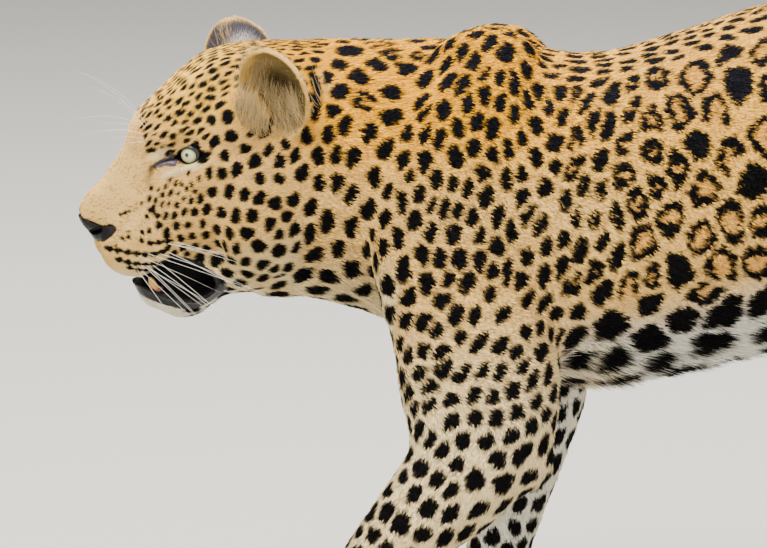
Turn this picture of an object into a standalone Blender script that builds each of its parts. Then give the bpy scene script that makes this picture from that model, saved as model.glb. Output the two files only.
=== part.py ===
"""A walking leopard, life size, as a still museum model: every flesh part, eye, tooth and nose is a closed solid.

Metres, +Z up, the animal faces -X and its left side faces -Y. The floor is Z = 0.
The animal is shaped like clay: closed lofts and rounded blobs are placed from named sizes, fused by a voxel
remesh, smoothed, thinned to few triangles, and then parted with thin cuts where a person names its parts.
"""

import math

import bmesh
import bpy
import numpy as np
from mathutils import Euler, Matrix, Vector

for old in list(bpy.data.objects):
    bpy.data.objects.remove(old)

GAP = 0.0003
HALF_GAP = GAP / 2
LEFT, RIGHT = -1, 1
SIDES = {"left": LEFT, "right": RIGHT}
WIDE = 0.6

# The head's own frame has its origin at the tip of the nose, x towards the nape and z up with the head level.
NOSE_TIP = Vector((-0.4277, 0.0, 0.4612))
HEAD_PITCH = math.radians(20)
HEAD_YAW = math.radians(11)
HEAD_ROLL = math.radians(5)
HEAD_PIVOT = Vector((-0.19, 0.010, 0.50))

EYE_RADIUS = 0.0155
LID_THICKNESS = 0.0028
LID_OPENING = (0.0150, 0.0098)
IRIS_PLACE = Vector((0.1227, 0.0428, 0.0276))
GAZE_OUT = math.radians(62)
GAZE = Vector((-math.cos(GAZE_OUT), math.sin(GAZE_OUT), 0.03)).normalized()
EYE_CENTRE = IRIS_PLACE - GAZE * EYE_RADIUS

# Head sections: distance behind the nose tip, height on the mid-line, then (half-width, height) of the crown's
# edge, of the widest point and of the lower edge, and the lowest point.
HEAD_SECTIONS = [
    (0.006, 0.0060, (0.008, 0.005), (0.013, -0.004), (0.009, -0.014), -0.018),
    (0.012, 0.0120, (0.012, 0.008), (0.0170, -0.008), (0.012, -0.031), -0.038),
    (0.020, 0.0180, (0.013, 0.014), (0.0210, -0.010), (0.021, -0.046), -0.055),
    (0.036, 0.0240, (0.015, 0.020), (0.0260, -0.010), (0.031, -0.060), -0.0725),
    (0.056, 0.0380, (0.017, 0.032), (0.0310, -0.002), (0.037, -0.061), -0.0785),
    (0.072, 0.0525, (0.020, 0.045), (0.0325, 0.012), (0.042, -0.055), -0.076),
    (0.086, 0.0715, (0.024, 0.062), (0.0330, 0.024), (0.047, -0.050), -0.085),
    (0.104, 0.0820, (0.029, 0.072), (0.0360, 0.032), (0.055, -0.045), -0.100),
    (0.125, 0.0895, (0.035, 0.080), (0.0450, 0.031), (0.064, -0.045), -0.118),
    (0.150, 0.0985, (0.042, 0.087), (0.0610, 0.022), (0.073, -0.052), -0.132),
    (0.180, 0.1050, (0.046, 0.094), (0.072, 0.014), (0.078, -0.062), -0.146),
    (0.215, 0.1010, (0.048, 0.089), (0.076, 0.008), (0.080, -0.070), -0.158),
    (0.250, 0.0900, (0.046, 0.078), (0.074, 0.002), (0.076, -0.074), -0.150),
    (0.285, 0.0770, (0.040, 0.064), (0.066, -0.005), (0.062, -0.070), -0.125),
]
HEAD_RINGS = 34
RING_POINTS = 36

# Lower jaw sections: distance behind the nose tip, lowest point, highest point, half-width.
JAW_SECTIONS = [
    (0.0300, -0.0960, -0.0820, 0.010),
    (0.0350, -0.1090, -0.0800, 0.021),
    (0.0460, -0.1220, -0.0780, 0.027),
    (0.0600, -0.1345, -0.0720, 0.031),
    (0.0770, -0.1400, -0.0600, 0.036),
    (0.0950, -0.1355, -0.0600, 0.042),
    (0.1150, -0.1300, -0.0600, 0.048),
    (0.1450, -0.1390, -0.0700, 0.054),
]

# Rounded masses of the head: centre, radii and turn about Y in degrees. Each has a mirror image.
HEAD_MASSES = {
    "whisker_pad": ((0.0455, 0.0215, -0.0420), (0.0370, 0.0205, 0.0350), 0),
    "nose_side": ((0.0160, 0.0080, -0.0060), (0.0140, 0.0120, 0.0145), 0),
    "brow": ((0.1240, 0.0260, 0.0475), (0.0400, 0.0200, 0.0175), 14),
    "cheekbone": ((0.1680, 0.0480, -0.0020), (0.0600, 0.0220, 0.0260), 5),
    "cheek": ((0.1800, 0.0560, -0.0620), (0.0600, 0.0320, 0.0580), 14),
    "jaw_angle": ((0.1540, 0.0420, -0.0960), (0.0460, 0.0220, 0.0320), 0),
    "ear_root": ((0.1900, 0.0560, 0.0400), (0.0370, 0.0190, 0.0420), 0),
}

# The side view of the open mouth, as (behind the nose tip, height): it is cut in from each side, and right
# through in front of the tongue.
MOUTH_OUTLINE = [
    (0.0100, -0.0800), (0.0340, -0.0790), (0.0430, -0.0775), (0.0540, -0.0725), (0.0630, -0.0690),
    (0.0736, -0.0698), (0.0874, -0.0764), (0.0984, -0.0852), (0.1046, -0.0955), (0.1050, -0.1067),
    (0.1008, -0.1128), (0.0912, -0.1156), (0.0800, -0.1160), (0.0696, -0.1115), (0.0567, -0.1025),
    (0.0442, -0.0920), (0.0370, -0.0860), (0.0290, -0.0825), (0.0100, -0.0820),
]
TONGUE_HALF = 0.0125
TONGUE_FRONT = 0.047
JAW_LINE = [
    (-0.020, -0.0810), (0.040, -0.0830), (0.060, -0.0890), (0.090, -0.0970), (0.107, -0.1040),
    (0.122, -0.1220), (0.134, -0.1700),
]

# The nose leather in side view, and its two nostrils: centre, radii, and turns about Y and Z in degrees.
NOSE_OUTLINE = [
    (-0.020, 0.0040), (0.001, 0.0005), (0.010, -0.0050), (0.019, -0.0135), (0.0315, -0.0155),
    (0.0325, -0.0180), (0.0295, -0.0208), (0.0206, -0.0252), (0.0125, -0.0282), (-0.020, -0.0305),
]
NOSTRIL = ((0.0140, 0.0142, -0.0172), (0.0100, 0.0058, 0.0040), -6, 48)

# The lower canines: middle of the root, tip, and radii at the root and near the tip.
TOOTH_ROOT = Vector((0.0485, 0.0185, -0.1050))
TOOTH_TIP = Vector((0.0470, 0.0195, -0.0810))
TOOTH_RADII = (0.0056, 0.0050, 0.0038, 0.0018)
TOOTH_HEIGHTS = (0.0, 0.45, 0.80, 1.0)
TOOTH_SIDES = 12

# The trunk: place along X, lowest and highest point, half-width, and how high up the widest point lies.
TRUNK_SECTIONS = [
    (-0.135, 0.425, 0.540, 0.040, 0.5),
    (-0.110, 0.368, 0.602, 0.080, 0.5),
    (-0.050, 0.332, 0.630, 0.104, 0.5),
    (0.000, 0.302, 0.635, 0.117, 0.5),
    (0.050, 0.284, 0.622, 0.123, 0.5),
    (0.100, 0.280, 0.620, 0.126, 0.5),
    (0.150, 0.287, 0.632, 0.127, 0.5),
    (0.205, 0.299, 0.650, 0.125, 0.5),
    (0.267, 0.315, 0.669, 0.122, 0.52),
    (0.350, 0.340, 0.685, 0.114, 0.54),
    (0.450, 0.372, 0.693, 0.105, 0.56),
    (0.530, 0.406, 0.691, 0.103, 0.58),
    (0.610, 0.446, 0.680, 0.104, 0.58),
    (0.690, 0.493, 0.656, 0.095, 0.55),
    (0.755, 0.530, 0.630, 0.066, 0.5),
    (0.792, 0.552, 0.604, 0.034, 0.5),
]
TRUNK_RINGS = 60

# The neck, from inside the head to inside the chest, as the trunk, with a sideways shift last.
NECK_SECTIONS = [
    (-0.270, 0.390, 0.608, 0.064, 0.5, -0.014),
    (-0.235, 0.374, 0.626, 0.082, 0.5, -0.006),
    (-0.190, 0.372, 0.632, 0.091, 0.5, 0.002),
    (-0.145, 0.360, 0.633, 0.095, 0.5, 0.003),
    (-0.100, 0.346, 0.632, 0.099, 0.5, 0.002),
    (-0.040, 0.342, 0.631, 0.103, 0.5, 0.000),
    (0.020, 0.352, 0.590, 0.090, 0.5, 0.000),
]
NECK_RINGS = 28

# Limbs: points down the middle of the limb as (x, distance from the mid-plane, z), then the half-thickness
# fore and aft and the half-thickness sideways. The left foreleg reaches forward and the left hind leg has
# just landed; the right legs carry the body and trail.
FORELEG = {
    "left": [
        ((0.004, 0.048, 0.628), 0.034, 0.020),
        ((-0.012, 0.070, 0.580), 0.056, 0.030),
        ((-0.040, 0.086, 0.500), 0.076, 0.038),
        ((-0.050, 0.096, 0.430), 0.080, 0.044),
        ((-0.031, 0.104, 0.360), 0.080, 0.047),
        ((-0.021, 0.109, 0.300), 0.082, 0.048),
        ((-0.024, 0.113, 0.250), 0.074, 0.046),
        ((-0.044, 0.115, 0.208), 0.059, 0.042),
        ((-0.078, 0.116, 0.172), 0.049, 0.038),
        ((-0.112, 0.115, 0.133), 0.042, 0.035),
        ((-0.142, 0.113, 0.098), 0.036, 0.033),
        ((-0.165, 0.111, 0.066), 0.034, 0.036),
        ((-0.186, 0.110, 0.040), 0.030, 0.038),
    ],
    "right": [
        ((0.008, 0.048, 0.622), 0.034, 0.020),
        ((-0.006, 0.070, 0.574), 0.056, 0.030),
        ((-0.030, 0.086, 0.495), 0.076, 0.038),
        ((-0.036, 0.096, 0.425), 0.082, 0.044),
        ((-0.008, 0.103, 0.355), 0.080, 0.046),
        ((0.022, 0.106, 0.305), 0.070, 0.045),
        ((0.034, 0.107, 0.262), 0.060, 0.043),
        ((0.028, 0.106, 0.210), 0.048, 0.039),
        ((0.016, 0.104, 0.160), 0.041, 0.036),
        ((0.004, 0.102, 0.112), 0.035, 0.033),
        ((-0.004, 0.100, 0.075), 0.033, 0.035),
        ((-0.020, 0.100, 0.042), 0.031, 0.038),
    ],
}
SHOULDER_BLADE = {
    "left": ((-0.014, 0.044, 0.622), (0.052, 0.026, 0.031)),
    "right": ((-0.002, 0.044, 0.616), (0.050, 0.026, 0.030)),
}
ELBOW = {
    "left": ((0.026, 0.116, 0.226), (0.030, 0.022, 0.034)),
    "right": ((0.066, 0.108, 0.286), (0.028, 0.022, 0.032)),
}
HIND_LEG = {
    "left": [
        ((0.640, 0.062, 0.610), 0.080, 0.036),
        ((0.612, 0.080, 0.550), 0.104, 0.046),
        ((0.575, 0.092, 0.480), 0.106, 0.050),
        ((0.540, 0.100, 0.420), 0.090, 0.049),
        ((0.528, 0.105, 0.370), 0.071, 0.045),
        ((0.548, 0.106, 0.308), 0.054, 0.038),
        ((0.582, 0.106, 0.256), 0.042, 0.031),
        ((0.612, 0.105, 0.210), 0.034, 0.027),
        ((0.622, 0.105, 0.172), 0.029, 0.025),
        ((0.606, 0.105, 0.128), 0.025, 0.025),
        ((0.587, 0.105, 0.086), 0.025, 0.027),
        ((0.566, 0.105, 0.046), 0.026, 0.031),
    ],
    "right": [
        ((0.645, 0.062, 0.608), 0.080, 0.036),
        ((0.634, 0.080, 0.550), 0.102, 0.046),
        ((0.618, 0.092, 0.480), 0.102, 0.050),
        ((0.606, 0.100, 0.420), 0.088, 0.048),
        ((0.614, 0.104, 0.366), 0.069, 0.044),
        ((0.658, 0.105, 0.314), 0.053, 0.037),
        ((0.712, 0.105, 0.268), 0.042, 0.031),
        ((0.762, 0.105, 0.226), 0.034, 0.027),
        ((0.786, 0.105, 0.188), 0.029, 0.025),
        ((0.782, 0.105, 0.142), 0.025, 0.025),
        ((0.773, 0.105, 0.094), 0.025, 0.027),
        ((0.758, 0.105, 0.048), 0.026, 0.031),
    ],
}
HOCK = {
    "left": ((0.640, 0.105, 0.196), (0.019, 0.017, 0.030)),
    "right": ((0.806, 0.105, 0.212), (0.019, 0.017, 0.030)),
}
LIMB_RINGS = 40

# Paws: where the middle of the palm stands, as (x, distance from the mid-plane).
FOREPAW_AT = {"left": (-0.212, 0.110), "right": (-0.044, 0.100)}
HINDPAW_AT = {"left": (0.540, 0.105), "right": (0.733, 0.105)}
FOREPAW_SCALE = 1.0
HINDPAW_SCALE = 0.9
PALM_RADII = (0.046, 0.042, 0.034)
PALM_HEIGHT = 0.026
TOE_RADII = (0.026, 0.0128, 0.0185)
TOE_HEIGHT = 0.0165
TOE_SPREAD = (-0.0330, -0.0115, 0.0115, 0.0330)
TOE_REACH = (0.030, 0.042, 0.042, 0.030)
PAD_SINK = 0.0012

# The tail: points along its middle and its radius.
TAIL_PATH = [
    ((0.690, 0.000, 0.595), 0.026),
    ((0.745, 0.000, 0.594), 0.038),
    ((0.795, 0.000, 0.572), 0.038),
    ((0.850, 0.005, 0.528), 0.034),
    ((0.910, 0.011, 0.455), 0.031),
    ((0.965, 0.016, 0.370), 0.030),
    ((1.030, 0.020, 0.290), 0.029),
    ((1.110, 0.022, 0.235), 0.028),
    ((1.190, 0.020, 0.215), 0.027),
    ((1.270, 0.012, 0.235), 0.026),
    ((1.330, 0.000, 0.285), 0.024),
    ((1.355, -0.006, 0.325), 0.016),
]
TAIL_RINGS = 64

# Ears: a rounded cup at each side of the crown: its middle, the way it opens, its way up and its half sizes.
EAR_CENTRE = Vector((0.2190, 0.0820, 0.0655))
EAR_SHIFT = {LEFT: Vector((0.0, 0.0, 0.0)), RIGHT: Vector((-0.005, 0.0, -0.003))}
EAR_FACING = {LEFT: Vector((-0.62, 0.74, -0.10)), RIGHT: Vector((-0.12, 0.98, -0.12))}
EAR_UP = {LEFT: Vector((0.03, 0.22, 0.97)), RIGHT: Vector((0.00, 0.42, 0.90))}
EAR_HALF = (0.0380, 0.0250, 0.0510)
EAR_WALL = 0.0045
EAR_RIM = 0.003

# Where the side view is parted into nodes: corners of the cuts as (x, z).
NECK_TOP, NECK_LOW = (-0.140, 0.750), (-0.225, 0.300)
CHEST_TOP, CHEST_LOW = (-0.060, 0.750), (-0.1216, 0.272)
LOIN_TOP, LOIN_MID, LOIN_LOW = (0.440, 0.750), (0.4068, 0.335), (0.4018, 0.272)
TAIL_HIGH, TAIL_LOW = (0.826, 0.660), (0.760, 0.500)
ROOT_HIGH, ROOT_LOW = (1.023, 0.465), (0.857, 0.355)
MIDDLE_HIGH, MIDDLE_LOW = (1.120, 0.340), (1.020, 0.180)
END_HIGH, END_LOW = (1.225, 0.320), (1.315, 0.150)
WRIST, HEEL = 0.078, 0.090
BODY_PARTS = {
    "neck": (NECK_TOP, CHEST_TOP, (-0.118, 0.300), NECK_LOW),
    "torso": (CHEST_TOP, LOIN_TOP, LOIN_LOW, CHEST_LOW),
    "hindquarters": (LOIN_TOP, (0.860, 0.750), TAIL_HIGH, TAIL_LOW, (0.810, 0.420), (0.810, 0.335), LOIN_MID),
    "tail_root": (TAIL_HIGH, (0.950, 0.660), ROOT_HIGH, ROOT_LOW, TAIL_LOW),
    "tail_middle": (ROOT_HIGH, MIDDLE_HIGH, MIDDLE_LOW, ROOT_LOW),
    "tail_end": (MIDDLE_HIGH, END_HIGH, END_LOW, MIDDLE_LOW),
    "tail_tip": (END_HIGH, (1.250, 0.420), (1.450, 0.420), (1.450, 0.100), END_LOW),
}
LIMB_PARTS = {
    "foreleg": ((-0.300, 0.272), (0.300, 0.272), (0.300, WRIST), (-0.300, WRIST)),
    "hindleg": ((0.430, 0.335), (0.880, 0.335), (0.880, HEEL), (0.430, HEEL)),
}
HEAD_BLOCK = ((-0.600, 0.750), NECK_TOP, NECK_LOW, (-0.600, 0.300))

BODY_VOXEL = 0.006
HEAD_VOXEL = 0.0024
PAW_VOXEL = 0.003
BODY_SMOOTHING = 9
HEAD_SMOOTHING = 12
PAW_SMOOTHING = 2
BODY_TRIANGLES = 6000
HEAD_TRIANGLES = 4300
PAW_TRIANGLES = 620

FUR = (0.62, 0.42, 0.19, 1.0)
PALE_FUR = (0.78, 0.72, 0.60, 1.0)
NOSE_LEATHER = (0.05, 0.04, 0.045, 1.0)
EYE_COLOUR = (0.60, 0.66, 0.42, 1.0)
IVORY = (0.80, 0.68, 0.40, 1.0)


def material(name, colour, roughness):
    made = bpy.data.materials.new(name)
    made.use_nodes = True
    shader = made.node_tree.nodes["Principled BSDF"]
    shader.inputs["Base Color"].default_value = colour
    shader.inputs["Roughness"].default_value = roughness
    return made


FINISH = {
    "fur": material("fur", FUR, 0.8),
    "pale_fur": material("pale_fur", PALE_FUR, 0.8),
    "nose_leather": material("nose_leather", NOSE_LEATHER, 0.4),
    "eye": material("eye", EYE_COLOUR, 0.1),
    "ivory": material("ivory", IVORY, 0.3),
}


def head_frame():
    """Places the head's own frame in the world: pitched, then turned about the top of the neck."""
    level = Matrix.Translation(NOSE_TIP) @ Matrix.Rotation(-HEAD_PITCH, 4, "Y")
    turn = Euler((HEAD_ROLL, 0.0, HEAD_YAW)).to_matrix().to_4x4()
    return Matrix.Translation(HEAD_PIVOT) @ turn @ Matrix.Translation(-HEAD_PIVOT) @ level


HEAD = head_frame()


def mirrored(point, side):
    """A point of the right side, or its mirror image on the left."""
    return Vector((point[0], point[1] * side, point[2]))


def spline(rows, count):
    """Rows of numbers sampled evenly in row order along a smooth curve through them (Catmull-Rom)."""
    rows = np.array(rows, float)
    last = len(rows) - 1
    padded = np.vstack([2 * rows[0] - rows[1], rows, 2 * rows[-1] - rows[-2]])
    made = []
    for place in np.linspace(0, last, count):
        start = min(int(place), last - 1)
        t = place - start
        a, b, c, d = padded[start:start + 4]
        made.append(0.5 * (2 * b + (c - a) * t + (2 * a - 5 * b + 4 * c - d) * t * t
                           + (3 * b - a - 3 * c + d) * t ** 3))
    return np.array(made)


def closed_spline(points, count):
    """A closed smooth ring of count points through a closed list of points."""
    points = [tuple(p) for p in points]
    around = points[-2:] + points + points[:3]
    fine = 12
    dense = spline(around, (len(around) - 1) * fine + 1)[2 * fine:(2 + len(points)) * fine]
    steps = np.linalg.norm(np.diff(np.vstack([dense, dense[:1]]), axis=0), axis=1)
    along = np.concatenate([[0], np.cumsum(steps)])
    wanted = np.linspace(0, along[-1], count, endpoint=False)
    closed = np.vstack([dense, dense[:1]])
    return np.stack([np.interp(wanted, along, closed[:, k]) for k in range(closed.shape[1])], 1)


class Clay:
    """Closed shapes gathered in one mesh, to be fused and smoothed."""

    def __init__(self):
        self.mesh = bmesh.new()

    def loft(self, rings):
        """A skin over rings of equal count, closed by a fan at each end."""
        rows = [[self.mesh.verts.new(p) for p in ring] for ring in rings]
        for a, b in zip(rows, rows[1:]):
            for i in range(len(a)):
                j = (i + 1) % len(a)
                self.mesh.faces.new((a[i], a[j], b[j], b[i]))
        for row in (rows[0], rows[-1]):
            middle = self.mesh.verts.new(sum((v.co for v in row), Vector()) / len(row))
            for i in range(len(row)):
                self.mesh.faces.new((row[i], row[(i + 1) % len(row)], middle))

    def blob(self, frame, centre, radii, turn=0.0):
        """An ellipsoid, turned about Y in degrees."""
        place = frame @ Matrix.Translation(centre) @ Matrix.Rotation(math.radians(turn), 4, "Y")
        bmesh.ops.create_icosphere(
            self.mesh, subdivisions=3, radius=1.0, matrix=place @ Matrix.Diagonal((*radii, 1.0)))

    def limb(self, rows, side, count):
        """A limb of elliptic sections square to a smooth middle line."""
        flat = [(p[0], p[1] * side, p[2], fore, wide) for p, fore, wide in rows]
        path = spline(flat, count)
        rings = []
        for i, row in enumerate(path):
            ahead = path[min(i + 1, count - 1)][:3] - path[max(i - 1, 0)][:3]
            ahead = Vector(ahead).normalized()
            across = Vector((0, 1, 0))
            fore = across.cross(ahead).normalized()
            across = ahead.cross(fore).normalized()
            centre = Vector(row[:3])
            rings.append([
                centre + fore * row[3] * math.cos(a) + across * row[4] * math.sin(a)
                for a in np.linspace(0, 2 * math.pi, RING_POINTS, endpoint=False)])
        self.loft(rings)

    def fused(self, name, voxel, smoothing, triangles):
        """The clay as one smooth closed object of about so many triangles."""
        bmesh.ops.recalc_face_normals(self.mesh, faces=self.mesh.faces)
        data = bpy.data.meshes.new(name)
        self.mesh.to_mesh(data)
        self.mesh.free()
        obj = bpy.data.objects.new(name, data)
        bpy.context.scene.collection.objects.link(obj)
        remesh = obj.modifiers.new("fuse", "REMESH")
        remesh.mode = "VOXEL"
        remesh.voxel_size = voxel
        smooth = obj.modifiers.new("smooth", "SMOOTH")
        smooth.factor = 0.5
        smooth.iterations = smoothing
        bake(obj)
        thin = obj.modifiers.new("thin", "DECIMATE")
        faces = sum(len(p.vertices) - 2 for p in obj.data.polygons)
        thin.ratio = min(1.0, triangles / faces)
        bake(obj)
        return obj


def bake(obj):
    """Applies every modifier of an object."""
    graph = bpy.context.evaluated_depsgraph_get()
    data = bpy.data.meshes.new_from_object(obj.evaluated_get(graph))
    obj.modifiers.clear()
    obj.data = data


def new_object(name, mesh):
    data = bpy.data.meshes.new(name)
    mesh.to_mesh(data)
    mesh.free()
    obj = bpy.data.objects.new(name, data)
    bpy.context.scene.collection.objects.link(obj)
    return obj


def prism(outline, low, high, frame=None):
    """A block whose side view is the outline of (x, z), from y = low to y = high."""
    mesh = bmesh.new()
    near = [mesh.verts.new((x, low, z)) for x, z in outline]
    far = [mesh.verts.new((x, high, z)) for x, z in outline]
    mesh.faces.new(near)
    mesh.faces.new(far[::-1])
    for i in range(len(near)):
        j = (i + 1) % len(near)
        mesh.faces.new((near[i], far[i], far[j], near[j]))
    bmesh.ops.recalc_face_normals(mesh, faces=mesh.faces)
    if frame is not None:
        mesh.transform(frame)
    return new_object("cutter", mesh)


def combine(obj, other, operation, keep_other=False):
    """Applies one Boolean and removes the other object unless it is kept."""
    step = obj.modifiers.new(operation.lower(), "BOOLEAN")
    step.operation = operation
    step.object = other
    bake(obj)
    if not keep_other:
        bpy.data.objects.remove(other)
    return obj


def copy_of(obj, name):
    made = obj.copy()
    made.data = obj.data.copy()
    made.name = name
    bpy.context.scene.collection.objects.link(made)
    return made


def largest_body(obj):
    """Keeps an object's largest closed surface."""
    mesh = bmesh.new()
    mesh.from_mesh(obj.data)
    bmesh.ops.remove_doubles(mesh, verts=mesh.verts, dist=1e-6)
    unseen = set(mesh.faces)
    bodies = []
    while unseen:
        stack = [unseen.pop()]
        body = set(stack)
        while stack:
            for edge in stack.pop().edges:
                for face in edge.link_faces:
                    if face in unseen:
                        unseen.discard(face)
                        body.add(face)
                        stack.append(face)
        bodies.append(body)
    keep = max(bodies, key=lambda body: sum(f.calc_area() for f in body))
    drop = [f for f in mesh.faces if f not in keep]
    bmesh.ops.delete(mesh, geom=drop, context="FACES")
    mesh.to_mesh(obj.data)
    mesh.free()
    return obj


def finish(obj, name, finish_name):
    """Names a node, gives it its material and shades it smooth."""
    obj.name = name
    obj.data.name = name
    obj.data.materials.clear()
    obj.data.materials.append(FINISH[finish_name])
    obj.data.shade_smooth()
    return obj


def add_head(clay):
    """The skull's flesh: a loft of sections with rounded masses for muzzle, brow, cheek and jaw."""
    rows = [(x, top, *edge, *widest, *lower, bottom)
            for x, top, edge, widest, lower, bottom in HEAD_SECTIONS]
    rings = []
    for x, top, y1, z1, y2, z2, y3, z3, bottom in spline(rows, HEAD_RINGS):
        half = [(y1, z1), (y2, z2), (y3, z3)]
        outline = [(0, top), *half, (0, bottom), *[(-y, z) for y, z in half[::-1]]]
        rings.append([HEAD @ Vector((x, y, z)) for y, z in closed_spline(outline, RING_POINTS)])
    clay.loft(rings)
    rings = []
    for x, low, high, half in spline(JAW_SECTIONS, 16):
        middle, tall = (low + high) / 2, (high - low) / 2
        rings.append([
            HEAD @ Vector((x, half * math.cos(a), middle + tall * math.sin(a)))
            for a in np.linspace(0, 2 * math.pi, RING_POINTS, endpoint=False)])
    clay.loft(rings)
    for centre, radii, turn in HEAD_MASSES.values():
        for side in SIDES.values():
            clay.blob(HEAD, mirrored(centre, side), radii, turn)
    for side in SIDES.values():
        swell = EYE_RADIUS + LID_THICKNESS
        clay.blob(HEAD, mirrored(EYE_CENTRE, side), (swell,) * 3)


def add_barrel(clay, sections, count):
    """The trunk or the neck: upright sections along X."""
    rows = [row if len(row) == 6 else (*row, 0.0) for row in sections]
    rings = []
    for x, low, high, half, share, shift in spline(rows, count):
        widest = low + (high - low) * share
        ring = []
        for a in np.linspace(0, 2 * math.pi, RING_POINTS, endpoint=False):
            up = math.sin(a)
            tall = high - widest if up > 0 else widest - low
            ring.append(Vector((x, shift + half * math.cos(a), widest + tall * up)))
        rings.append(ring)
    clay.loft(rings)


def add_body(clay):
    add_barrel(clay, TRUNK_SECTIONS, TRUNK_RINGS)
    add_barrel(clay, NECK_SECTIONS, NECK_RINGS)
    for name, side in SIDES.items():
        clay.limb(FORELEG[name], side, LIMB_RINGS)
        clay.limb(HIND_LEG[name], side, LIMB_RINGS)
        for centre, radii in (SHOULDER_BLADE[name], ELBOW[name], HOCK[name]):
            clay.blob(Matrix.Identity(4), mirrored(centre, side), radii)
    clay.limb([(p, r, r) for p, r in TAIL_PATH], 1, TAIL_RINGS)


def add_paw(clay, at, side, scale):
    """A palm and four toes, pressed a little into the floor so that they rest on flats."""
    ground = Matrix.Translation((at[0], at[1] * side, -PAD_SINK))
    clay.blob(ground, Vector((0, 0, PALM_HEIGHT)) * scale, Vector(PALM_RADII) * scale)
    for across, reach in zip(TOE_SPREAD, TOE_REACH):
        centre = Vector((-reach, across, TOE_HEIGHT)) * scale
        clay.blob(ground, centre, Vector(TOE_RADII) * scale)


def inset(outline, by):
    """A polygon with every edge moved inwards by a distance; the corners run clockwise in (x, z)."""
    count = len(outline)
    made = []
    for i in range(count):
        before, here, after = (Vector(outline[(i + k) % count]) for k in (-1, 0, 1))
        first = (here - before).normalized()
        second = (after - here).normalized()
        first = Vector((first.y, -first.x))
        second = Vector((second.y, -second.x))
        bisector = (first + second).normalized()
        made.append(here + bisector * (by / bisector.dot(first)))
    return made


def part(source, outline, name, low=-WIDE, high=WIDE, frame=None):
    """A node: what the outline, drawn in by half the gap, keeps of a copy of the source."""
    cutter = prism(inset(outline, HALF_GAP), low, high, frame)
    node = combine(copy_of(source, name), cutter, "INTERSECT")
    return finish(largest_body(node), name, "fur")


def side_span(side):
    """The whole of one side of the mid-plane, kept off it by half the gap."""
    return (-WIDE, -HALF_GAP) if side == LEFT else (HALF_GAP, WIDE)


def ellipsoid(frame, radii, detail=3):
    mesh = bmesh.new()
    bmesh.ops.create_icosphere(
        mesh, subdivisions=detail, radius=1.0, matrix=frame @ Matrix.Diagonal((*radii, 1.0)))
    return new_object("cutter", mesh)


def axes(centre, facing, up):
    """A frame at a centre whose Y is the facing direction and whose Z is near to up."""
    y = facing.normalized()
    x = y.cross(up).normalized()
    z = x.cross(y)
    made = Matrix((x, y, z)).transposed().to_4x4()
    made.translation = centre
    return made


def mirrored_frame(centre, facing, up, side):
    return HEAD @ axes(mirrored(centre, side), mirrored(facing, side), mirrored(up, side))


def block(frame, low, high):
    """A box between two corners of a frame."""
    mesh = bmesh.new()
    size = Vector(high) - Vector(low)
    middle = (Vector(high) + Vector(low)) / 2
    bmesh.ops.create_cube(
        mesh, size=1.0, matrix=frame @ Matrix.Translation(middle) @ Matrix.Diagonal((*size, 1.0)))
    return new_object("cutter", mesh)


def make_ear(side, name):
    """A cup: half an ellipsoid hollowed by a smaller one, and its whole outside for the seat in the head."""
    frame = mirrored_frame(EAR_CENTRE + EAR_SHIFT[side], EAR_FACING[side], EAR_UP[side], side)
    outside = ellipsoid(frame, EAR_HALF)
    hollow = ellipsoid(frame, [r - EAR_WALL for r in EAR_HALF])
    front = block(frame, (-0.1, EAR_RIM, -0.1), (0.1, 0.1, 0.1))
    seat_front = block(frame, (-0.1, EAR_RIM + GAP, -0.1), (0.1, 0.1, 0.1))
    seat = combine(ellipsoid(frame, [r + GAP for r in EAR_HALF]), seat_front, "DIFFERENCE")
    ear = combine(combine(outside, front, "DIFFERENCE"), hollow, "DIFFERENCE")
    return finish(ear, name, "fur"), seat


def make_tooth(side, name, grow=0.0):
    """A blunt cone of rings from root to tip."""
    clay = Clay()
    root, tip = mirrored(TOOTH_ROOT, side), mirrored(TOOTH_TIP, side)
    rings = []
    for share, radius in zip(TOOTH_HEIGHTS, TOOTH_RADII):
        centre = root.lerp(tip, share)
        rings.append([
            HEAD @ (centre + Vector((math.cos(a), math.sin(a), 0)) * (radius + grow))
            for a in np.linspace(0, 2 * math.pi, TOOTH_SIDES, endpoint=False)])
    if grow:
        for ring, lift in ((rings[0], -grow), (rings[-1], grow)):
            for point in ring:
                point += (HEAD.to_3x3() @ Vector((0, 0, 1))) * lift
    clay.loft(rings)
    bmesh.ops.recalc_face_normals(clay.mesh, faces=clay.mesh.faces)
    return finish(new_object(name, clay.mesh), name, "ivory")


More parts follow.
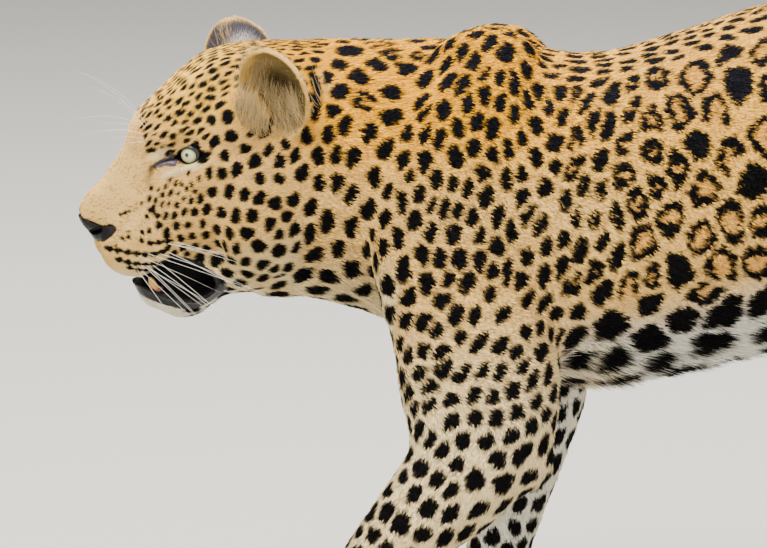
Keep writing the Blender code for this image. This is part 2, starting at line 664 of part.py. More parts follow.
def make_head(clay_head):
    """Opens mouth, eyes, nostrils and ear seats in the head and parts it into its nodes."""
    wide = 0.15
    for low, high, outline in (
            (-wide, -TONGUE_HALF, MOUTH_OUTLINE),
            (TONGUE_HALF, wide, MOUTH_OUTLINE),
            (-TONGUE_HALF - GAP, TONGUE_HALF + GAP, [p for p in MOUTH_OUTLINE if p[0] < TONGUE_FRONT])):
        combine(clay_head, prism(outline, low, high, HEAD), "DIFFERENCE")
    for name, side in SIDES.items():
        ball_frame = mirrored_frame(EYE_CENTRE, GAZE, Vector((0, 0, 1)), side)
        combine(clay_head, ellipsoid(ball_frame, (EYE_RADIUS + GAP,) * 3), "DIFFERENCE")
        opening = ellipsoid(
            ball_frame @ Matrix.Translation((0, EYE_RADIUS, 0)), (LID_OPENING[0], EYE_RADIUS, LID_OPENING[1]))
        combine(clay_head, opening, "DIFFERENCE")
        finish(ellipsoid(ball_frame, (EYE_RADIUS,) * 3), "eye_" + name, "eye")
        centre, radii, tilt, swing = NOSTRIL
        nostril_frame = HEAD @ Matrix.Translation(mirrored(centre, side))
        nostril_frame = nostril_frame @ Matrix.Rotation(math.radians(swing * side), 4, "Z")
        nostril_frame = nostril_frame @ Matrix.Rotation(math.radians(tilt), 4, "Y")
        combine(clay_head, ellipsoid(nostril_frame, radii, 2), "DIFFERENCE")
        ear, seat = make_ear(side, "ear_" + name)
        combine(clay_head, seat, "DIFFERENCE")
    block_of_head = prism(inset(HEAD_BLOCK, HALF_GAP), -WIDE, WIDE)
    combine(clay_head, block_of_head, "INTERSECT")
    jaw_block = JAW_LINE + [(-0.020, -0.1700)]
    jaw = part(clay_head, jaw_block, "lower_jaw", -wide, wide, HEAD)
    for name, side in SIDES.items():
        make_tooth(side, "tooth_lower_" + name)
        combine(jaw, make_tooth(side, "seat", GAP), "DIFFERENCE")
    nose = part(clay_head, NOSE_OUTLINE, "nose", -wide, wide, HEAD)
    finish(nose, "nose", "nose_leather")
    combine(clay_head, prism(inset(jaw_block, -HALF_GAP), -wide, wide, HEAD), "DIFFERENCE")
    combine(clay_head, prism(inset(NOSE_OUTLINE, -HALF_GAP), -wide, wide, HEAD), "DIFFERENCE")
    finish(largest_body(clay_head), "head", "fur")


def make_paw(name, side, legs, at, scale, top):
    """One paw with the end of its leg, fused on its own so that the toes stay crisp."""
    clay = Clay()
    clay.limb(legs, side, LIMB_RINGS)
    add_paw(clay, at, side, scale)
    whole = clay.fused(name + "_clay", PAW_VOXEL, PAW_SMOOTHING, PAW_TRIANGLES * 4)
    outline = ((at[0] - 0.2, top), (at[0] + 0.2, top), (at[0] + 0.2, HALF_GAP * -1), (at[0] - 0.2, HALF_GAP * -1))
    made = part(whole, outline, name)
    bpy.data.objects.remove(whole)
    thin = made.modifiers.new("thin", "DECIMATE")
    thin.ratio = min(1.0, PAW_TRIANGLES / sum(len(p.vertices) - 2 for p in made.data.polygons))
    bake(made)


body_clay = Clay()
add_head(body_clay)
add_body(body_clay)
body = body_clay.fused("body_clay", BODY_VOXEL, BODY_SMOOTHING, BODY_TRIANGLES)

head_clay = Clay()
add_head(head_clay)
add_barrel(head_clay, NECK_SECTIONS, NECK_RINGS)
make_head(head_clay.fused("head_clay", HEAD_VOXEL, HEAD_SMOOTHING, HEAD_TRIANGLES))

for part_name, part_outline in BODY_PARTS.items():
    part(body, part_outline, part_name)
for side_name, which in SIDES.items():
    for part_name, part_outline in LIMB_PARTS.items():
        part(body, part_outline, part_name + "_" + side_name, *side_span(which))
    make_paw("forepaw_" + side_name, which, FORELEG[side_name], FOREPAW_AT[side_name], FOREPAW_SCALE, WRIST)
    make_paw("hindpaw_" + side_name, which, HIND_LEG[side_name], HINDPAW_AT[side_name], HINDPAW_SCALE, HEEL)
bpy.data.objects.remove(body)

# Everything is moved so that the middle of the bottom of the whole is the origin.
corners = np.array([v.co for node in bpy.data.objects for v in node.data.vertices])
middle = (corners.min(axis=0) + corners.max(axis=0)) / 2
move = Matrix.Translation((-middle[0], -middle[1], -corners[:, 2].min()))
for node in bpy.data.objects:
    node.data.transform(move)
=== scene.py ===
"""A life-size walking leopard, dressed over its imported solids: one skin, a coat of short tufts, eyes, nose,
lower canines, whiskers and ear hair, on a pale studio floor."""

import math

import bmesh
import bpy
import numpy as np
from mathutils import Euler, Matrix, Vector, kdtree
from mathutils.bvhtree import BVHTree


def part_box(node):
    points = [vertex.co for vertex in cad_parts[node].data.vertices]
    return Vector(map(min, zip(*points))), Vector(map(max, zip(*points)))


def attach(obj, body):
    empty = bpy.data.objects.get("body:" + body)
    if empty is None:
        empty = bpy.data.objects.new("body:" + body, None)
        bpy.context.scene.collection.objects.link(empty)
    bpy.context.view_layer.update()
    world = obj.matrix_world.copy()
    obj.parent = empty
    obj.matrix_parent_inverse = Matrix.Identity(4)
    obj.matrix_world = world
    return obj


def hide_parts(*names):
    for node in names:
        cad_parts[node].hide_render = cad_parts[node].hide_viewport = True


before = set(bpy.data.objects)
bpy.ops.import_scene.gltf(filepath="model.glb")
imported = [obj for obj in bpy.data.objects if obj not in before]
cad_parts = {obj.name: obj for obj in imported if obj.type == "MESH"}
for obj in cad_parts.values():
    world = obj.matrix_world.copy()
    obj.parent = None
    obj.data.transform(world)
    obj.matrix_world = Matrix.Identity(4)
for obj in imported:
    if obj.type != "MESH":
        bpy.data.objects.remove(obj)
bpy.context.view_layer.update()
bpy.ops.object.select_all(action="DESELECT")

# The camera
# A long lens seven metres off, nine degrees above level, square to the animal's left side. The photograph
# shows the head and the forequarters, so it looks at a point just behind the shoulder blade.
CAMERA_DISTANCE = 7.0
CAMERA_RAISED = math.radians(9)
FRAME_WIDTH_AT_ANIMAL = 0.767
SENSOR_WIDTH = 36.0
AIM_BEFORE_TRUNK = 0.0050
AIM_HEIGHT = 0.3956

trunk_low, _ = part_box("torso")
aim = Vector((trunk_low.x - AIM_BEFORE_TRUNK, 0.004, AIM_HEIGHT))
view = Vector((0.0, -math.cos(CAMERA_RAISED), math.sin(CAMERA_RAISED)))
bpy.ops.object.camera_add(location=aim + view * CAMERA_DISTANCE)
camera = bpy.context.object
camera.name = "camera"
camera.rotation_euler = (-view).to_track_quat("-Z", "Y").to_euler()
camera.data.sensor_width = SENSOR_WIDTH
camera.data.lens = SENSOR_WIDTH * CAMERA_DISTANCE / FRAME_WIDTH_AT_ANIMAL
camera.data.clip_end = 60.0
bpy.context.scene.camera = camera

# The studio
# A wide pale floor of smooth painted board that the four paws stand on, soft lamps above and to the camera's
# side, and an even pale surround.
FLOOR_WIDTH = 30.0
FLOOR_COLOUR = (0.56, 0.55, 0.52, 1.0)
SURROUND_COLOUR = (0.80, 0.83, 0.86, 1.0)
SURROUND_STRENGTH = 0.46
LAMPS = (
    ("key_lamp", (-1.6, -2.9, 4.5), 2.6, 680.0, (1.0, 0.96, 0.88)),
    ("fill_lamp", (3.2, -3.8, 1.6), 3.5, 100.0, (0.97, 0.98, 1.0)),
    ("back_lamp", (0.6, 1.6, 4.4), 2.4, 460.0, (1.0, 0.97, 0.92)),
)

bpy.ops.mesh.primitive_plane_add(size=FLOOR_WIDTH)
floor = bpy.context.object
floor.name = "floor"
board = bpy.data.materials.new("pale_board")
board.use_nodes = True
board.node_tree.nodes["Principled BSDF"].inputs["Base Color"].default_value = FLOOR_COLOUR
board.node_tree.nodes["Principled BSDF"].inputs["Roughness"].default_value = 0.85
floor.data.materials.append(board)

surround = bpy.data.worlds.new("surround")
surround.use_nodes = True
surround.node_tree.nodes["Background"].inputs["Color"].default_value = SURROUND_COLOUR
surround.node_tree.nodes["Background"].inputs["Strength"].default_value = SURROUND_STRENGTH
bpy.context.scene.world = surround

for lamp_name, place, width, power, colour in LAMPS:
    bpy.ops.object.light_add(type="AREA", location=aim + Vector(place))
    lamp = bpy.context.object
    lamp.name = lamp_name
    lamp.data.size = width
    lamp.data.energy = power
    lamp.data.color = colour
    lamp.rotation_euler = Vector(place).to_track_quat("Z", "Y").to_euler()

# The skin's shape
# The hide of the whole animal, tanned leather under the coat, drawn over every flesh solid in one piece and
# sewn to itself alone. It lies inside the solids by the depth of the coat.
SKIN_VOXEL = 0.0023
SKIN_TRIANGLES = 210000
LONGEST_EDGES = (0.0095, 0.0060)
BODY_ROUNDS = 40
BODY_EASE = (0.15, 0.35)
PAW_TO_LEG = (0.03, 0.10)
THIN_STEPS = 10
FINE_HEAD_TO = (0.17, 0.30)
FINE_HEAD_DOWN_TO = (0.15, 0.19)
SWELL_OVER_CUTS = 0.0004
SPARE = ("eye_", "tooth_", "nose")
HEAD_PITCH, HEAD_YAW, HEAD_ROLL = (math.radians(a) for a in (20, 11, 5))
EYE_BEHIND_NOSE, EYE_HEIGHT = 0.12997, 0.02714
EYE_RADIUS = 0.0155
TRUNK_TO_SHOULDER = 0.1145

flesh = sorted(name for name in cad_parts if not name.startswith(SPARE))
eye_balls = {side: sum(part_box("eye_" + side), Vector()) / 2 for side in ("left", "right")}
head_turn = Euler((HEAD_ROLL, 0.0, HEAD_YAW)).to_matrix() @ Matrix.Rotation(-HEAD_PITCH, 3, "Y")
between_eyes = (eye_balls["left"] + eye_balls["right"]) / 2
nose_tip = between_eyes - head_turn @ Vector((EYE_BEHIND_NOSE, 0.0, EYE_HEIGHT))
HEAD_AXES = np.array(head_turn)
NOSE_TIP = np.array(nose_tip)
BODY_ZERO = np.array((trunk_low.x + TRUNK_TO_SHOULDER, 0.004, 0.0))


def in_head(points):
    """World points in the head's own frame: x behind the nose tip, y to the right, z above it."""
    return (points - NOSE_TIP) @ HEAD_AXES


def from_head(points):
    return points @ HEAD_AXES.T + NOSE_TIP


def apply_all(piece):
    """Applies every modifier of a piece."""
    bpy.ops.object.select_all(action="DESELECT")
    bpy.context.view_layer.objects.active = piece
    piece.select_set(True)
    for modifier in list(piece.modifiers):
        bpy.ops.object.modifier_apply(modifier=modifier.name)
    piece.select_set(False)


def placed(name, mesh):
    """A new object in the scene that holds a mesh."""
    made = bpy.data.objects.new(name, mesh)
    bpy.context.scene.collection.objects.link(made)
    return made


def merged_copy(nodes, name):
    """One object with copies of the named nodes' meshes, their loose triangles merged."""
    mesh = bmesh.new()
    for node in nodes:
        mesh.from_mesh(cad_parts[node].data)
    bmesh.ops.remove_doubles(mesh, verts=mesh.verts, dist=1e-6)
    data = bpy.data.meshes.new(name)
    mesh.to_mesh(data)
    mesh.free()
    return placed(name, data)


def fuse(piece, voxel):
    """Draws one closed net over a piece, with meshes of the voxel's size."""
    net = piece.modifiers.new("fuse", "REMESH")
    net.mode = "VOXEL"
    net.voxel_size = voxel


def read(what, values, width, kind=np.float32):
    """The values of a mesh's points, edges or faces, as an array of rows."""
    got = np.empty(len(what) * width, kind)
    what.foreach_get(values, got)
    return got.reshape(-1, width)


def places_of(piece):
    return read(piece.data.vertices, "co", 3).astype(float)


def normals_of(piece):
    return read(piece.data.vertices, "normal", 3).astype(float)


def move(piece, to):
    """Puts a piece's points at the given places."""
    piece.data.vertices.foreach_set("co", to.astype(np.float32).ravel())
    piece.data.update()


def unit(vectors):
    return vectors / np.maximum(np.linalg.norm(vectors, axis=1, keepdims=True), 1e-9)


def ramp(value, start, end):
    """Nought at the start, one at the end, smooth between."""
    t = np.clip((value - start) / (end - start), 0.0, 1.0)
    return t * t * (3 - 2 * t)


class Web:
    """A mesh's net of edges, for averaging values over neighbours."""

    def __init__(self, mesh):
        pairs = read(mesh.edges, "vertices", 2, np.int32)
        self.near = np.concatenate([pairs[:, 0], pairs[:, 1]])
        self.far = np.concatenate([pairs[:, 1], pairs[:, 0]])
        self.count = len(mesh.vertices)
        self.degree = np.maximum(np.bincount(self.near, minlength=self.count), 1)

    def mean(self, values):
        rows = values.reshape(self.count, -1)
        made = np.empty_like(rows)
        for k in range(rows.shape[1]):
            made[:, k] = np.bincount(self.near, rows[self.far, k], self.count) / self.degree
        return made.reshape(values.shape)

    def smooth(self, values, rounds, share=0.5):
        """Values eased towards their neighbours' mean, round after round; share may differ by place."""
        share = np.asarray(share)
        if share.ndim and values.ndim > 1:
            share = share[:, None]
        for _ in range(rounds):
            values = values + (self.mean(values) - values) * share
        return values


skin = merged_copy(flesh, "skin")
swell = skin.modifiers.new("swell", "DISPLACE")
swell.mid_level = 0.0
swell.strength = SWELL_OVER_CUTS
fuse(skin, SKIN_VOXEL)
apply_all(skin)
thin = skin.modifiers.new("thin", "DECIMATE")
coarse_group = skin.vertex_groups.new(name="coarse")
places = places_of(skin)
behind, _, above = in_head(places).T
thinned = np.maximum(ramp(behind, *FINE_HEAD_TO), ramp(-above, *FINE_HEAD_DOWN_TO))
body_share = thinned * (BODY_EASE[0] + BODY_EASE[1] * ramp(places[:, 2], *PAW_TO_LEG))
move(skin, Web(skin.data).smooth(places, BODY_ROUNDS, body_share))
for step in range(1, THIN_STEPS + 1):
    chosen = np.flatnonzero(np.round(thinned * THIN_STEPS) == step)
    coarse_group.add(chosen.tolist(), step / THIN_STEPS, "REPLACE")
thin.vertex_group = "coarse"
thin.ratio = min(1.0, SKIN_TRIANGLES / (2 * len(skin.data.polygons)))
skin.modifiers.new("three_cornered", "TRIANGULATE")
apply_all(skin)
skin.vertex_groups.clear()
even = bmesh.new()
even.from_mesh(skin.data)
for longest in LONGEST_EDGES:
    long_edges = [edge for edge in even.edges if edge.calc_length() > longest]
    bmesh.ops.subdivide_edges(even, edges=long_edges, cuts=1)
    bmesh.ops.triangulate(even, faces=even.faces[:])
even.to_mesh(skin.data)
even.free()

# How deep the skin lies
# Each region's hair has a length, a lift off the skin and a width. The skin sinks by the height of the hair's
# tips, and smooths over the facets of the solids, least round the eyes, mouth and nostrils.
HAIR = {
    # Region: length, lift in degrees, width, tufts to the square centimetre
    "head": (0.0072, 11, 0.0011, 78), "lower_jaw": (0.0070, 15, 0.0011, 85), "ear": (0.0050, 14, 0.0010, 75),
    "neck": (0.0094, 14, 0.0018, 30), "torso": (0.0086, 12, 0.0019, 26),
    "hindquarters": (0.0088, 12, 0.0020, 21), "tail_root": (0.0130, 12, 0.0018, 24),
    "tail_middle": (0.0140, 12, 0.0018, 24), "tail_end": (0.0150, 12, 0.0018, 24),
    "tail_tip": (0.0180, 14, 0.0018, 26),
    "foreleg": (0.0078, 12, 0.0018, 28), "hindleg": (0.0080, 12, 0.0018, 24),
    "forepaw": (0.0060, 13, 0.0014, 33), "hindpaw": (0.0060, 13, 0.0014, 33),
}
MUZZLE_HAIR = (0.0036, 9, 0.0009, 120)
BELLY_HAIR = (0.0240, 20, 0.0020, 26)
MOUTH_OUTLINE = np.array([
    (0.0100, -0.0800), (0.0340, -0.0790), (0.0430, -0.0775), (0.0540, -0.0725), (0.0630, -0.0690),
    (0.0736, -0.0698), (0.0874, -0.0764), (0.0984, -0.0852), (0.1046, -0.0955), (0.1050, -0.1067),
    (0.1008, -0.1128), (0.0912, -0.1156), (0.0800, -0.1160), (0.0696, -0.1115), (0.0567, -0.1025),
    (0.0442, -0.0920), (0.0370, -0.0860), (0.0290, -0.0825), (0.0100, -0.0820)])
OFF_EYE_EASE = (0.001, 0.008)
OFF_MOUTH_EASE = (0.0005, 0.006)
LAST_ROUNDS = 5
LAST_EASE_HEAD, LAST_EASE_BODY = 0.25, 0.5
OFF_MIDLINE = (0.006, 0.012)
UPPER_LID = ((0.1037, 0.0400), (0.1117, 0.0450), (0.1217, 0.0465), (0.1317, 0.0430), (0.1397, 0.0355))
LOWER_LID = ((0.0936, 0.0155), (0.1042, 0.0171), (0.1133, 0.0174), (0.1219, 0.0180), (0.1306, 0.0221))
UNDER_LID = ((0.0950, 0.0085), (0.1080, 0.0100), (0.1220, 0.0110), (0.1340, 0.0150))
EYE_CORNER = ((0.0870, 0.0268), (0.0960, 0.0275), (0.1060, 0.0275))
BEHIND_EAR = ((0.2653, 0.0600), (0.2642, 0.0453), (0.2592, 0.0349), (0.2515, 0.0252))
EAR_POUCH = ((0.2714, 0.0576), (0.2733, 0.0440), (0.2717, 0.0279), (0.2644, 0.0141), (0.2535, 0.0031))
BEHIND_PAD = ((0.0800, -0.0330), (0.0815, -0.0500), (0.0760, -0.0660))
OVER_PAD = ((0.0400, -0.0190), (0.0560, -0.0100), (0.0740, -0.0040))
LOWER_LIP = ((0.0420, -0.0945), (0.0560, -0.1050), (0.0700, -0.1140), (0.0830, -0.1190), (0.0960, -0.1165))
FOLDS = (
    # A line in the side view, its half-width and its depth, which swells where it is under nought
    (UPPER_LID, 0.0024, 0.0014), (LOWER_LID, 0.0030, -0.0014), (UNDER_LID, 0.0024, 0.0009),
    (EYE_CORNER, 0.0040, 0.0018), (BEHIND_EAR, 0.0045, 0.0030), (EAR_POUCH, 0.0035, -0.0022),
    (BEHIND_PAD, 0.0050, 0.0016), (OVER_PAD, 0.0060, 0.0010), (LOWER_LIP, 0.0038, -0.0016),
)
CLEFT_BEFORE, CLEFT_BELOW = 0.022, -0.029
CLEFT_HALF, CLEFT_DEPTH = 0.0018, 0.0022
PAWS = ("forepaw", "hindpaw")
TOE_GROOVES = (-0.49, 0.0, 0.49)
TOE_GROOVE_HALF, TOE_GROOVE_DEPTH = 0.085, 0.0036
TOES_END = (0.20, 0.42)
MUZZLE_TO_FACE = (0.050, 0.095)
SIDE_TO_BELLY = (0.35, 0.80)
CHEST_TO_BELLY = (-0.02, 0.08)
HAIR_ROUNDS = 14


def part_of(node):
    for end in ("_left", "_right"):
        node = node.removesuffix(end)
    return node


def off_outline(points, outline):
    """How far points of a side view lie outside a closed outline, less than nought within it."""
    starts, ends = outline, np.roll(outline, -1, axis=0)
    nearest = np.full(len(points), 1e9)
    inside = np.zeros(len(points), bool)
    for start, end in zip(starts, ends):
        along = end - start
        t = np.clip((points - start) @ along / (along @ along), 0, 1)
        nearest = np.minimum(nearest, np.linalg.norm(points - start - t[:, None] * along, axis=1))
        crosses = (start[1] > points[:, 1]) != (end[1] > points[:, 1])
        where = start[0] + (points[:, 1] - start[1]) * along[0] / (along[1] or 1e-9)
        inside ^= crosses & (points[:, 0] < where)
    return np.where(inside, -nearest, nearest)


def near_line(points, line):
    """The distance of side-view points from a broken line, and how far along it they are, in metres."""
    best = np.full(len(points), 1e9)
    along_at = np.zeros(len(points))
    passed = 0.0
    for start, end in zip(line[:-1], line[1:]):
        start, run = np.array(start), np.array(end) - np.array(start)
        t = np.clip((points - start) @ run / (run @ run), 0, 1)
        off = np.linalg.norm(points - start - t[:, None] * run, axis=1)
        along_at = np.where(off < best, passed + t * np.linalg.norm(run), along_at)
        best = np.minimum(best, off)
        passed += np.linalg.norm(run)
    return best, along_at


def off_eyes(points):
    """How far points stand off the nearer eye's ball."""
    off_middles = [np.linalg.norm(points - np.array(ball), axis=1) for ball in eye_balls.values()]
    return np.min(off_middles, axis=0) - EYE_RADIUS


def is_part(*names):
    return np.isin(part_at, names)


web = Web(skin.data)
places = places_of(skin)
solid_points, solid_faces, face_part = [], [], []
for node in flesh:
    first = len(solid_points)
    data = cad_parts[node].data
    solid_points += [v.co.copy() for v in data.vertices]
    for face in data.polygons:
        solid_faces.append([first + v for v in face.vertices])
        face_part.append(node)
solid_tree = BVHTree.FromPolygons(solid_points, solid_faces)
node_at = np.array([face_part[solid_tree.find_nearest(p)[2]] for p in places.tolist()])
part_at = np.array([part_of(node) for node in node_at])

face_points = in_head(places)
off_eye = off_eyes(places)
on_head = is_part("head", "lower_jaw", "ear")
off_mouth = np.where(on_head, off_outline(face_points[:, ::2], MOUTH_OUTLINE), 1.0)
mouth_ease = np.where(on_head, ramp(off_mouth, *OFF_MOUTH_EASE), 1.0)
openness = np.minimum(ramp(off_eye, *OFF_EYE_EASE), mouth_ease)
smoothed = web.smooth(places, LAST_ROUNDS, np.where(on_head, LAST_EASE_HEAD, LAST_EASE_BODY) * openness)
move(skin, smoothed)
facing = unit(web.smooth(normals_of(skin), 2))
beside_nose = ramp(np.abs(face_points[:, 1]), *OFF_MIDLINE) * on_head
for line, half, depth in FOLDS:
    off, _ = near_line(face_points[:, ::2], line)
    smoothed -= facing * (depth * np.exp(-(off / half) ** 2) * beside_nose)[:, None]
under_nose = (face_points[:, 0] < CLEFT_BEFORE) * (face_points[:, 2] < CLEFT_BELOW) * (part_at == "head")
smoothed -= facing * (CLEFT_DEPTH * np.exp(-(face_points[:, 1] / CLEFT_HALF) ** 2) * under_nose)[:, None]
between_toes = np.zeros(len(places))
for node in (paw + end for paw in PAWS for end in ("_left", "_right")):
    low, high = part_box(node)
    ahead = (places[:, 0] - low.x) / (high.x - low.x)
    across = (2 * places[:, 1] - low.y - high.y) / (high.y - low.y)
    for groove_at in TOE_GROOVES:
        groove = np.exp(-((across - groove_at) / TOE_GROOVE_HALF) ** 2) * (1 - ramp(ahead, *TOES_END))
        between_toes = np.maximum(between_toes, groove * (node_at == node))
smoothed -= facing * (TOE_GROOVE_DEPTH * between_toes)[:, None]
move(skin, smoothed)
facing = unit(web.smooth(normals_of(skin), 2))

hair = np.array([HAIR[part] for part in part_at])
muzzle = np.where(part_at == "head", 1 - ramp(face_points[:, 0], *MUZZLE_TO_FACE), 0.0)
hair += (np.array(MUZZLE_HAIR) - hair) * muzzle[:, None]
body_part = is_part("torso", "hindquarters")
belly = np.where(body_part, ramp(-facing[:, 2], *SIDE_TO_BELLY), 0.0)
belly *= ramp(places[:, 0] - BODY_ZERO[0], *CHEST_TO_BELLY)
hair += (np.array(BELLY_HAIR) - hair) * belly[:, None]
hair = web.smooth(hair, HAIR_ROUNDS)
sink = hair[:, 0] * np.sin(np.radians(hair[:, 1])) * openness
smoothed -= facing * sink[:, None]
move(skin, smoothed)
skin.data.shade_smooth()
places = smoothed
facing = unit(normals_of(skin))
face_points = in_head(places)

# The lie of the hair
# On the head it runs back from the nose, on the trunk it runs back and down, on a limb down it, on the tail
# towards the tip. The run is laid flat on the skin everywhere and eased from part to part.
LIE = {
    "torso": (1.0, 0.0, -0.30), "hindquarters": (1.0, 0.0, -0.35), "neck": (1.0, 0.0, -0.22),
    "tail_root": (0.5, 0.0, -0.85), "tail_middle": (0.62, 0.0, -0.78), "tail_end": (0.95, 0.0, 0.0),
    "tail_tip": (0.7, 0.0, 0.7), "foreleg_left": (-0.35, 0.0, -0.9), "foreleg_right": (0.05, 0.0, -1.0),
    "hindleg_left": (0.30, 0.0, -0.95), "hindleg_right": (0.35, 0.0, -0.9),
    "forepaw": (-1.0, 0.0, -0.3), "hindpaw": (-1.0, 0.0, -0.3), "ear": (0.1, 0.0, 1.0),
}
HAIR_SOURCE = np.array((-0.045, 0.0, 0.005))
HAIR_SPREAD = (1.0, 1.5, 1.15)
SIDE_DROP = (0.3, 1.2)
LIE_TURNS, LIE_ROUNDS = 8, 5

lie = np.array([LIE.get(node, LIE.get(part, (1.0, 0.0, 0.0))) for node, part in zip(node_at, part_at)])
lie[body_part, 2] *= SIDE_DROP[0] + SIDE_DROP[1] * np.abs(facing[body_part, 1])
head_lie = unit((face_points - HAIR_SOURCE) * HAIR_SPREAD) @ HEAD_AXES.T
flat_head = is_part("head", "lower_jaw")
lie[flat_head] = head_lie[flat_head]


def laid(vectors, normals):
    return unit(vectors - normals * (vectors * normals).sum(axis=1, keepdims=True))


for _ in range(LIE_TURNS):
    lie = laid(web.smooth(lie, LIE_ROUNDS), facing)

# The markings
# The coat's pattern, the same on the skin and on the hair: solid spots on the head, neck, shoulders and legs,
# broken rings with a deeper middle on the flanks, big blotches on the white belly, bands near the tail's tip.
SPOTS = {
    # Region: spacing, radius, stretch along its way, that way, share of rings, share with a gap
    "crown": (0.0112, 0.0055, 2.0, "lie", 0.0, 0.0),
    "brow": (0.0095, 0.0044, 2.0, "lie", 0.0, 0.0),
    "under_eye": (0.0080, 0.0031, 1.5, "up", 0.0, 0.0),
    "front_cheek": (0.0115, 0.0050, 1.3, "up", 0.0, 0.0),
    "cheek": (0.0168, 0.0076, 1.2, "up", 0.0, 0.0),
    "jaw": (0.0175, 0.0072, 1.4, "lie", 0.0, 0.0),
    "throat": (0.0300, 0.0132, 1.3, "slant", 0.0, 0.0),
    "nape": (0.0250, 0.0125, 1.4, "lie", 0.55, 0.9),
    "neck": (0.0225, 0.0098, 1.5, "up", 0.0, 0.0),
    "ridge": (0.0165, 0.0082, 1.9, "lie", 0.0, 0.0),
    "shoulder": (0.0205, 0.0112, 1.55, "up", 0.0, 0.0),
    "arm": (0.0210, 0.0108, 1.5, "slant", 0.0, 0.0),
    "forearm": (0.0225, 0.0112, 1.3, "slant", 0.0, 0.0),
    "shank": (0.0215, 0.0104, 1.3, "lie", 0.0, 0.0),
    "paw": (0.0130, 0.0054, 1.3, "lie", 0.0, 0.0),
    "fore_flank": (0.0240, 0.0145, 1.8, "up", 0.50, 0.3),
    "flank": (0.0345, 0.0215, 1.35, "lean", 0.92, 0.25),
    "low_flank": (0.0290, 0.0170, 1.7, "slant", 0.45, 0.6),
    "belly": (0.0450, 0.0225, 1.25, "slant", 0.0, 0.0),
    "rump": (0.0330, 0.0190, 1.3, "lean", 0.85, 0.4),
    "thigh": (0.0270, 0.0135, 1.35, "slant", 0.10, 0.8),
    "tail": (0.0250, 0.0118, 1.3, "lie", 0.10, 0.5),
    "tail_end": (0.0330, 0.0160, 1.0, "across", 0.0, 0.0),
    "bare": (0.0150, 0.001, 1.0, "lie", 0.0, 0.0),
}
WAYS = {"up": (0.22, 0.0, 0.97), "slant": (0.62, 0.0, 0.78), "lean": (-0.22, 0.0, 0.97)}
RING_WALL = 0.0082
SOFT_EDGE = 0.0007
UNEVEN_SHARE, UNEVEN_WAVES = 0.17, (0.019, 0.0083, 0.0047)
LOBES = (2, 3, 5)
LOBE_REACH = (0.14, 0.10, 0.05)
GAP_EDGE = 0.15
SPOT_ROOM = (1.0, 0.90, 0.80)
SPOT_TRIES = 60000
SPOT_ROUNDS = 8
BETWEEN_SHARE, BETWEEN_MOST = 0.24, 0.0058
CORNER_EASE = 0.0011
NEAR_SPOTS = 6
SEED = 11
OVER_EYE = ((0.0877, 0.0342), (0.0940, 0.0387), (0.1034, 0.0401))
TEAR_TROUGH = ((0.0872, 0.0270), (0.0960, 0.0276), (0.1030, 0.0276), (0.1095, 0.0276))
PALE_HALF_UNDER, PALE_HALF_OVER, TROUGH_HALF = 0.0022, 0.0020, 0.0034
UPPER_LIP_REACH, LOWER_LIP_MORE, LIP_EDGE = 0.0028, 0.0090, 0.002
LIPS_FROM, LIPS_TO = 0.020, 0.118

below = (part_at == "lower_jaw").astype(float)
side_view = face_points[:, ::2]
off_pale = np.minimum(near_line(side_view, LOWER_LID)[0] - PALE_HALF_UNDER,
                      near_line(side_view, OVER_EYE)[0] - PALE_HALF_OVER)
off_trough = near_line(side_view, TEAR_TROUGH)[0] - TROUGH_HALF
lip_reach = UPPER_LIP_REACH + LOWER_LIP_MORE * below
lips = on_head * (1 - ramp(off_mouth, lip_reach, lip_reach + LIP_EDGE)) * (face_points[:, 0] < LIPS_TO)
lips *= face_points[:, 0] > LIPS_FROM

random = np.random.default_rng(SEED)
body_x = places[:, 0] - BODY_ZERO[0]
height = places[:, 2]
hx, hy, hz = face_points.T
head_rules = (
    ("bare", (hx < 0.070) | ((hx < 0.098 - 0.22 * np.abs(hy)) & (hz > 0.010))),
    ("bare", (lips > 0.5) | (off_pale < 0.0015) | (off_trough < 0.0020) | (off_eye < 0.0060)),
    ("under_eye", (hx < 0.125) & (hz < 0.020) & (hz > -0.012)),
    ("brow", (hx < 0.150) & (hz > 0.040)),
    ("front_cheek", (hx < 0.118) & (hz > -0.075)),
    ("crown", (hz > 0.062) & (np.abs(hy) < 0.062)),
    ("jaw", (hz < -0.090) & (hx < 0.150)),
    ("throat", (hz < -0.118)),
    ("cheek", on_head),
)
body_rules = (
    ("tail_end", is_part("tail_end", "tail_tip")),
    ("tail", is_part("tail_root", "tail_middle")),
    ("paw", is_part(*PAWS)),
    ("throat", (part_at == "neck") & (height < 0.415)),
    ("nape", (part_at == "neck") & (height > 0.560)),
    ("neck", part_at == "neck"),
    ("shank", (part_at == "foreleg") & (height < 0.135)),
    ("forearm", (part_at == "foreleg") & (height < 0.245)),
    ("arm", part_at == "foreleg"),
    ("shank", (part_at == "hindleg") & (height < 0.225)),
    ("thigh", part_at == "hindleg"),
    ("belly", (facing[:, 2] < -0.42) & (body_x > 0.03)),
    ("ridge", (facing[:, 2] > 0.80) & (body_x < 0.62)),
    ("arm", (body_x < 0.085) & (height < 0.40)),
    ("shoulder", body_x < 0.065),
    ("fore_flank", (body_x < 0.130) & (height > 0.405)),
    ("low_flank", (height < 0.405) & (body_x < 0.42)),
    ("thigh", (height < 0.47) & (body_x > 0.45)),
    ("rump", body_x > 0.46),
    ("flank", ~on_head),
)


def first_true(rules):
    """The name of the first rule that holds at each point of the skin."""
    return np.select([mask for _, mask in rules], [name for name, _ in rules], "bare")


region = np.where(on_head, first_true(head_rules), first_true(body_rules))
region[part_at == "ear"] = "bare"

